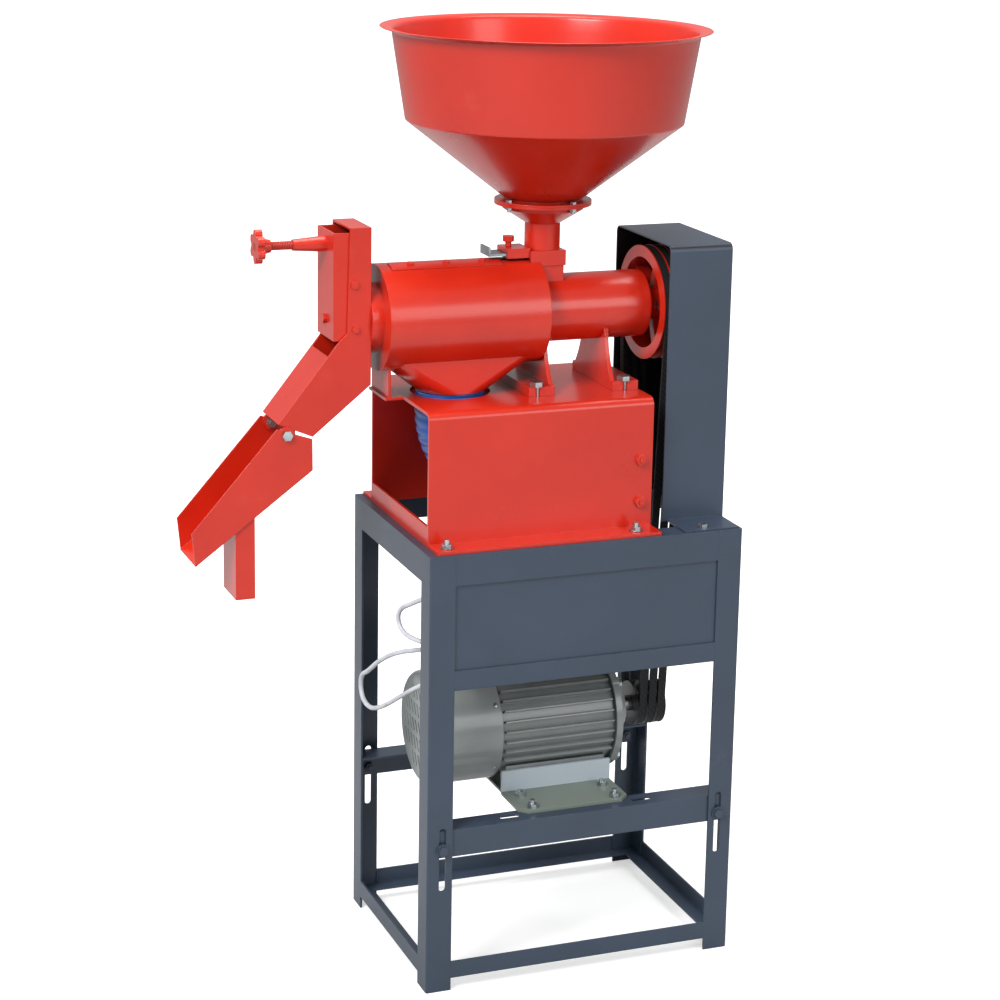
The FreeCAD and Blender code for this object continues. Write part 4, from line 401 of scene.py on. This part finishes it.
# the cloth's threads are 0.6 mm apart; drawn at 2 mm so that they show
weave = add(rubber, "TexWave", {"Vector": place, "Scale": 500 / 6.28, "Distortion": 1.5},
            wave_type="BANDS", bands_direction="DIAGONAL")
tone = add(rubber, "ValToRGB", {"Fac": weave.outputs["Fac"]})
tone.color_ramp.elements[0].color, tone.color_ramp.elements[1].color = linear("131416"), linear("26272A")
link(rubber, tone.outputs["Color"], shader.inputs["Base Color"])
cloth = add(rubber, "Bump", {"Height": weave.outputs["Fac"], "Strength": 0.3, "Distance": 0.0003})
link(rubber, cloth.outputs["Normal"], shader.inputs["Normal"])
cast_black = paint("black_enamel_on_cast_iron", "1B1D21", "131417", "5B5E62", 0.4, 0.2)
dress(cast_black, "motor_pulley")

bm = bmesh.new()
shaft_z, motor_z, upper_r, lower_r = 0.964, 0.340, 0.0835, 0.0335
lean = math.asin((upper_r - lower_r) / (shaft_z - motor_z))
belt_x, belt_pitch = 0.321, 0.015
for x in (belt_x - belt_pitch, belt_x, belt_x + belt_pitch):
    section = [bm.verts.new((x + w, 0, shaft_z + upper_r - d))
               for w, d in ((-0.0059, 0.0), (0.0059, 0.0), (0.0039, 0.0079), (-0.0039, 0.0079))]
    loop = [bm.edges.new((section[k], section[k - 1])) for k in range(4)]
    bmesh.ops.rotate(bm, verts=section, cent=(x, 0, shaft_z),
                     matrix=Matrix.Rotation(-math.pi / 2 - lean, 3, "X"))
    geom = bmesh.ops.spin(bm, geom=section + loop, cent=(x, 0, shaft_z), axis=(1, 0, 0),
                          angle=math.pi + 2 * lean, steps=40)["geom_last"]
    drop = shaft_z - motor_z
    run = Vector((0, math.sin(lean) * math.cos(lean), -math.cos(lean) ** 2)) * drop
    for _ in range(24):
        geom = extruded(bm, geom, run / 24)
    ended = bmesh.ops.spin(bm, geom=geom, cent=(x, 0, motor_z), axis=(1, 0, 0),
                           angle=math.pi - 2 * lean, steps=24)["geom_last"]
    bmesh.ops.bridge_loops(bm, edges=[g for g in ended if isinstance(g, bmesh.types.BMEdge)] + loop)
belts = bpy.data.objects.new("belt_set", finish_data("belt_set", bm, rubber))
bpy.context.collection.objects.link(belts)
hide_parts("drive_belts")
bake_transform(belts)


# ------------------------------------------------------------------ machine base
# 5 mm steel plate bent to an inverted U and welded to its end strips; bolted to the stand.
# Gloss red enamel, sprayed, with soft runs at the bends and thin paint on the cut edges.
# grime_and_shade=0.06 paints shade, near black, into hollows and inside corners, such as inside the base
# and the outlet cover
red = paint("gloss_enamel_red", "E03018", "CF2612", "E0644C", 0.28, 0.2, grime_and_shade=0.06, clear=0.5)
dress(red, "machine_base", "bran_collar")
dress(zinc, "frame_bolts")

bm = bmesh.new()
base_low, base_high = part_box("machine_base")
for x in (base_low.x + 0.0045, base_high.x - 0.0045):
    for y in (-0.1225, 0.1225):
        weld_bead(bm, (x, y, base_low.z + 0.006), (x, y, base_low.z + 0.028), 0.004)
finish_mesh("base_welds", bm, red, "stand", "red_paint")

bm = bmesh.new()
for x, y in ((-0.0555, -0.1508), (-0.0555, 0.1508), (0.2325, -0.1508), (0.2535, 0.1508)):
    barrel(bm, "z", (x, y, 0.6630), 0.0098, 0.0016, edge=0.0004)
finish_mesh("base_washers", bm, zinc, "stand", "zinc")


# ------------------------------------------------------------------ bran hose
# Blow-moulded blue PVC hose with round ribs 10 mm apart, pushed over the bran spout; it curves
# through the base to the collar in the rear wall.
hose_pvc, shader = material("blue_pvc_hose", IOR=1.53, Roughness=0.35)
place = add(hose_pvc, "TexCoord").outputs["Object"]
haze = add(hose_pvc, "TexNoise", {"Vector": place, "Scale": 25.0, "Detail": 4.0})
tone = add(hose_pvc, "ValToRGB", {"Fac": haze.outputs["Fac"]})
tone.color_ramp.elements[0].color, tone.color_ramp.elements[1].color = linear("1D4796"), linear("2F64B8")
link(hose_pvc, tone.outputs["Color"], shader.inputs["Base Color"])
skin = add(hose_pvc, "Bump", {"Height": haze.outputs["Fac"], "Strength": 0.2, "Distance": 0.001})
link(hose_pvc, skin.outputs["Normal"], shader.inputs["Normal"])

bm = bmesh.new()
hose_top, hose_r = Vector((0.0005, 0, 0.8557)), 0.0495
ring = bmesh.ops.create_circle(bm, segments=48, radius=hose_r - 0.0002,
                               matrix=Matrix.Translation(hose_top))["verts"]
geom = ring + list({e for v in ring for e in v.link_edges})
wave, at_ring = (1.0, 0.985, 0.945, 0.985), 0
runs = [(Vector((0, 0, -0.033)), None, 12),
        (Vector((0.1045, 0, 0.8227)), Vector((0, -1, 0)), 64),
        (Vector((0.1045, 0.104, 0.7187)), Vector((0, 0, 1)), 64),
        (Vector((0, 0.0187, 0)), None, 8)]
for where, axis, steps in runs:
    for _ in range(steps):
        if axis is None:
            geom = extruded(bm, geom, where / steps)
        else:
            geom = bmesh.ops.spin(bm, geom=geom, cent=where, axis=axis,
                                  angle=math.pi / 2 / steps, steps=1)["geom_last"]
        verts = [g for g in geom if isinstance(g, bmesh.types.BMVert)]
        middle = sum((v.co for v in verts), Vector()) / len(verts)
        grow = wave[(at_ring + 1) % 4] / wave[at_ring % 4]
        bmesh.ops.scale(bm, verts=verts, vec=(grow, grow, grow),
                        space=Matrix.Translation(-middle))
        at_ring += 1
hose = finish_mesh("ribbed_hose", bm, hose_pvc, "stand", "blue_hose", "bran_hose", sharp=80)
wall = hose.modifiers.new("wall", "SOLIDIFY")
wall.thickness, wall.offset = 0.0018, -1


# ------------------------------------------------------------------ bearing housing and drum
# Grey-iron castings with a rolled-steel drum between them, filled, sanded and sprayed in the same
# red; the castings keep a little of the sand's texture under the paint.
# grime_and_shade=0.04 paints shade, near black, into the hollows of the castings, drum and inlet
cast_red = paint("gloss_enamel_red_on_iron", "E03018", "CC2411", "DE5C44", 0.28, 0.25, peel=0.0003,
                 grime_and_shade=0.04, clear=0.6)
dress(cast_red, "bearing_housing", "chamber_shell", "feed_inlet")
dress(red, "chamber_lid")
iron = plated("turned_grey_iron", "77787A", "56585B", 0.45)
screen = plated("perforated_screen_steel", "A9ABAD", "7F8285", 0.35)
dress(iron, "milling_roller", "feed_screw")
dress(screen, "rice_screen")
dress(steel, "main_shaft", "shaft_bearings")

bm = bmesh.new()
for x in (0.1365, 0.2225):
    for side in (-1, 1):
        weld_bead(bm, (x, side * 0.041, 0.9365), (x, side * 0.045, 0.9275), 0.005)
finish_mesh("housing_fillets", bm, cast_red, "stand", "red_paint")


# ------------------------------------------------------------------ main pulley
# Grey-iron V-pulley with arms, painted red all over and keyed to the mill's shaft.
dress(cast_red, "main_pulley")


# ------------------------------------------------------------------ belt guard
# 2 mm sheet bent to an open box, bolted to the stand by two tabs: blue-grey outside like the
# stand, flat black inside.
guard_low, guard_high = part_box("belt_guard")
guard_paint = paint("satin_enamel_blue_grey_black_inside", "3C4A5D", "344152", "66727F", 0.42, 0.1)
shader = guard_paint.node_tree.nodes["Principled BSDF"]
place = add(guard_paint, "TexCoord").outputs["Object"]
where = add(guard_paint, "SeparateXYZ", {0: place}).outputs
inside = add(guard_paint, "Math", {0: where["X"], 1: guard_high.x - 0.0015},
             operation="LESS_THAN").outputs[0]
for axis, level, side in (("Y", -0.1035, "GREATER_THAN"), ("Y", 0.0875, "LESS_THAN"),
                          ("Z", guard_high.z - 0.0015, "LESS_THAN"), ("X", 0.2955, "GREATER_THAN"),
                          ("Z", 0.6605, "GREATER_THAN")):
    test = add(guard_paint, "Math", {0: where[axis], 1: level}, operation=side).outputs[0]
    inside = add(guard_paint, "Math", {0: inside, 1: test}, operation="MULTIPLY").outputs[0]
outer = shader.inputs["Base Color"].links[0].from_socket
both = add(guard_paint, "Mix", {0: inside, 6: outer, 7: linear("1C1E23")}, data_type="RGBA")
link(guard_paint, both.outputs[2], shader.inputs["Base Color"])
dress(guard_paint, "belt_guard")


# ------------------------------------------------------------------ feed gate and hopper
# Spun and rolled 2 mm sheet: a cone and band with a rolled lip, flanged and bolted to the neck,
# all in the same red; the gate is a bare galvanised slide held by a thumb screw.
galvanised = plated("galvanised_sheet", "B4BABD", "8E959A", 0.36)
dress(galvanised, "feed_gate")
dress(red, "hopper_base", "gate_lock_screw")
dress(zinc, "hopper_bolts")


def spun(bm, centre, profile, steps=160):
    """Spins (radius, height) points about the upright axis through centre."""
    verts = [bm.verts.new((centre.x + r, centre.y, z)) for r, z in profile]
    edges = [bm.edges.new(pair) for pair in zip(verts, verts[1:])]
    bmesh.ops.spin(bm, geom=verts + edges, cent=centre, axis=(0, 0, 1), angle=2 * math.pi,
                   steps=steps, use_merge=True)


def line(start, end, steps):
    """Points evenly along a line in a profile, without its start."""
    return [tuple(a + (b - a) * k / steps for a, b in zip(start, end)) for k in range(1, steps + 1)]


hopper = Vector((0.1385, 0, 0))
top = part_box("hopper_bowl")[1].z
bm = bmesh.new()
outside = [(0.0555, 1.1205), (0.0700, 1.1205), (0.0700, 1.1240), (0.0585, 1.1242), (0.0560, 1.1256)]
outside += line(outside[-1], (0.1975, 1.2352), 8) + [(0.1988, 1.2364), (0.1992, 1.2382)]
outside += line(outside[-1], (0.2186, top - 0.0085), 6)
lip = [(0.2192, top - 0.0065), (0.2215, top - 0.0050), (0.2300, top - 0.0028), (0.2345, top - 0.0016),
       (0.2358, top - 0.0006), (0.2350, top), (0.2300, top - 0.0004), (0.2200, top - 0.0022)]
inside = [(0.2170, top - 0.0040), (0.2160, top - 0.0075)]
inside += line(inside[-1], (0.1972, 1.2390), 6) + [(0.1962, 1.2370)]
inside += line(inside[-1], (0.0535, 1.1262), 8)
profile = outside + lip + inside + [(0.0535, 1.1205), (0.0555, 1.1205)]
spun(bm, hopper, profile)
finish_mesh("hopper_bowl_spun", bm, red, "stand", "red_paint", "hopper_bowl", sharp=50)


# ------------------------------------------------------------------ outlet and pressure gate
# Folded-plate box and channel cover in red; the hand screw is painted over too, with a cast
# handwheel, and pushes the lever that closes the outlet against a wound spring.
dress(red, "outlet_housing", "outlet_cover", "pressure_gate", "gate_pins", "spring_bolt",
      "handwheel")
spring_wire = plated("oiled_spring_steel", "6C6E72", "494B4F", 0.3)
# six turns of round wire
spring_low, spring_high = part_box("gate_spring")
middle = (spring_low + spring_high) / 2
wire_r, turns, per_turn, sides = 0.0008, 6, 28, 10
coil_r = (spring_high.z - spring_low.z) / 2 - wire_r
bm = bmesh.new()
rings = []
for step in range(turns * per_turn + 1):
    around, share = 2 * math.pi * step / per_turn, step / (turns * per_turn)
    x = spring_low.x + wire_r + (spring_high.x - spring_low.x - 2 * wire_r) * share
    out = Vector((0, math.cos(around), math.sin(around)))
    centre = Vector((x, middle.y, middle.z)) + out * coil_r
    turn = [2 * math.pi * k / sides for k in range(sides)]
    rings.append([bm.verts.new(centre + out * (wire_r * math.cos(a))
                               + Vector((wire_r * math.sin(a), 0, 0))) for a in turn])
for ring, after in zip(rings, rings[1:]):
    for k in range(sides):
        bm.faces.new((ring[k - 1], ring[k], after[k], after[k - 1]))
bm.faces.new(rings[0])
bm.faces.new(reversed(rings[-1]))
spring = finish_mesh("wound_spring", bm, spring_wire, "stand", "spring_steel", "gate_spring",
                     sharp=60)
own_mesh(spring)
dress(steel, "thrust_pad")
threaded, shader = material("painted_thread_red", Roughness=0.4)
place = add(threaded, "TexCoord").outputs["Object"]
# the pitch is 1.5 mm; drawn at 2.4 mm so that it shows
pitch = add(threaded, "TexWave", {"Vector": place, "Scale": 2 * math.pi / 0.0024 / 20},
            wave_type="BANDS", bands_direction="X")
# the bands darken to 8E1A10 in the thread's grooves as painted shade; the crests keep the red paint's
# own colour
tone = add(threaded, "ValToRGB", {"Fac": pitch.outputs["Fac"]})
tone.color_ramp.elements[0].color, tone.color_ramp.elements[1].color = linear("8E1A10"), linear("DB3A24")
link(threaded, tone.outputs["Color"], shader.inputs["Base Color"])
ridge = add(threaded, "Bump", {"Height": pitch.outputs["Fac"], "Strength": 0.8, "Distance": 0.0008})
link(threaded, ridge.outputs["Normal"], shader.inputs["Normal"])
dress(threaded, "spindle")


# ------------------------------------------------------------------ lower chute
# Open trough of 2 mm sheet with a short spout for the broken grains, hung on two zinc-plated
# bolts with washers, so that it tilts.
dress(red, "lower_chute")
dress(zinc, "chute_bolts")


# ------------------------------------------------------------------ stage
# A pale seamless floor that keeps the machine's shadow, three softboxes and an even white room.
floor_bm = bmesh.new()
bmesh.ops.create_grid(floor_bm, x_segments=1, y_segments=1, size=60)
floor_data = bpy.data.meshes.new("floor")
floor_bm.to_mesh(floor_data)
floor_bm.free()
floor = bpy.data.objects.new("floor", floor_data)
bpy.context.collection.objects.link(floor)
floor.location.z = -0.0005
paper, shader = material("studio_floor", Roughness=0.9)
shader.inputs["Specular IOR Level"].default_value = 0.0
place = add(paper, "TexCoord").outputs["Object"]
fibre = add(paper, "TexNoise", {"Vector": place, "Scale": 3.0, "Detail": 2.0})
tone = add(paper, "ValToRGB", {"Fac": fibre.outputs["Fac"]})
tone.color_ramp.elements[0].color, tone.color_ramp.elements[1].color = linear("E9E9E9"), linear("EDEDED")
ray = add(paper, "LightPath").outputs
# the ground under such a machine is dark: little light comes back up from it
dimmed = add(paper, "Mix", {0: ray["Is Diffuse Ray"], 6: tone.outputs["Color"], 7: linear("909090")},
             data_type="RGBA")
link(paper, dimmed.outputs[2], shader.inputs["Base Color"])
seen = add(paper, "Math", {0: ray["Is Camera Ray"], 1: ray["Is Transmission Ray"]},
           operation="MAXIMUM")
away = add(paper, "VectorMath", {0: place}, operation="LENGTH").outputs["Value"]
away = add(paper, "MapRange", {"Value": away, "From Min": 0.7, "From Max": 2.4, "To Min": 0.55,
                               "To Max": 1.0}).outputs["Result"]
lift = add(paper, "Math", {0: seen.outputs[0], 1: away}, operation="MULTIPLY")
shader.inputs["Emission Color"].default_value = (1, 1, 1, 1)
link(paper, lift.outputs[0], shader.inputs["Emission Strength"])
floor_data.materials.append(paper)

room = bpy.data.worlds.new("room")
bpy.context.scene.world = room
room.use_nodes = True
back = room.node_tree.nodes["Background"]
back.inputs["Color"].default_value = (1, 1, 1, 1)
ray = add(room, "LightPath").outputs
seen = add(room, "Math", {0: ray["Is Camera Ray"], 1: ray["Is Transmission Ray"]},
           operation="MAXIMUM")
level = add(room, "MapRange", {"Value": seen.outputs[0], "To Min": 0.46, "To Max": 1.0})
glossy = add(room, "MapRange", {"Value": ray["Is Glossy Ray"], "To Min": 0.0, "To Max": 0.36})
most = add(room, "Math", {0: level.outputs[0], 1: glossy.outputs[0]}, operation="MAXIMUM")
link(room, most.outputs[0], back.inputs["Strength"])


def softbox(name, at, aim, size, power):
    """A square area lamp at a point, turned towards another."""
    lamp = bpy.data.lights.new(name, "AREA")
    lamp.size, lamp.energy = size, power
    box = bpy.data.objects.new(name, lamp)
    bpy.context.collection.objects.link(box)
    at, aim = Vector(at), Vector(aim)
    box.matrix_world = Matrix.Translation(at) @ (aim - at).to_track_quat("-Z", "Y").to_matrix().to_4x4()


softbox("key", (-3.6, -2.6, 4.2), (0, 0, 0.75), 2.0, 225)
softbox("top", (0.4, 0.3, 4.4), (0, 0, 0.75), 2.6, 110)
softbox("fill", (2.6, -5.0, 2.4), (0, 0, 0.75), 2.5, 70)
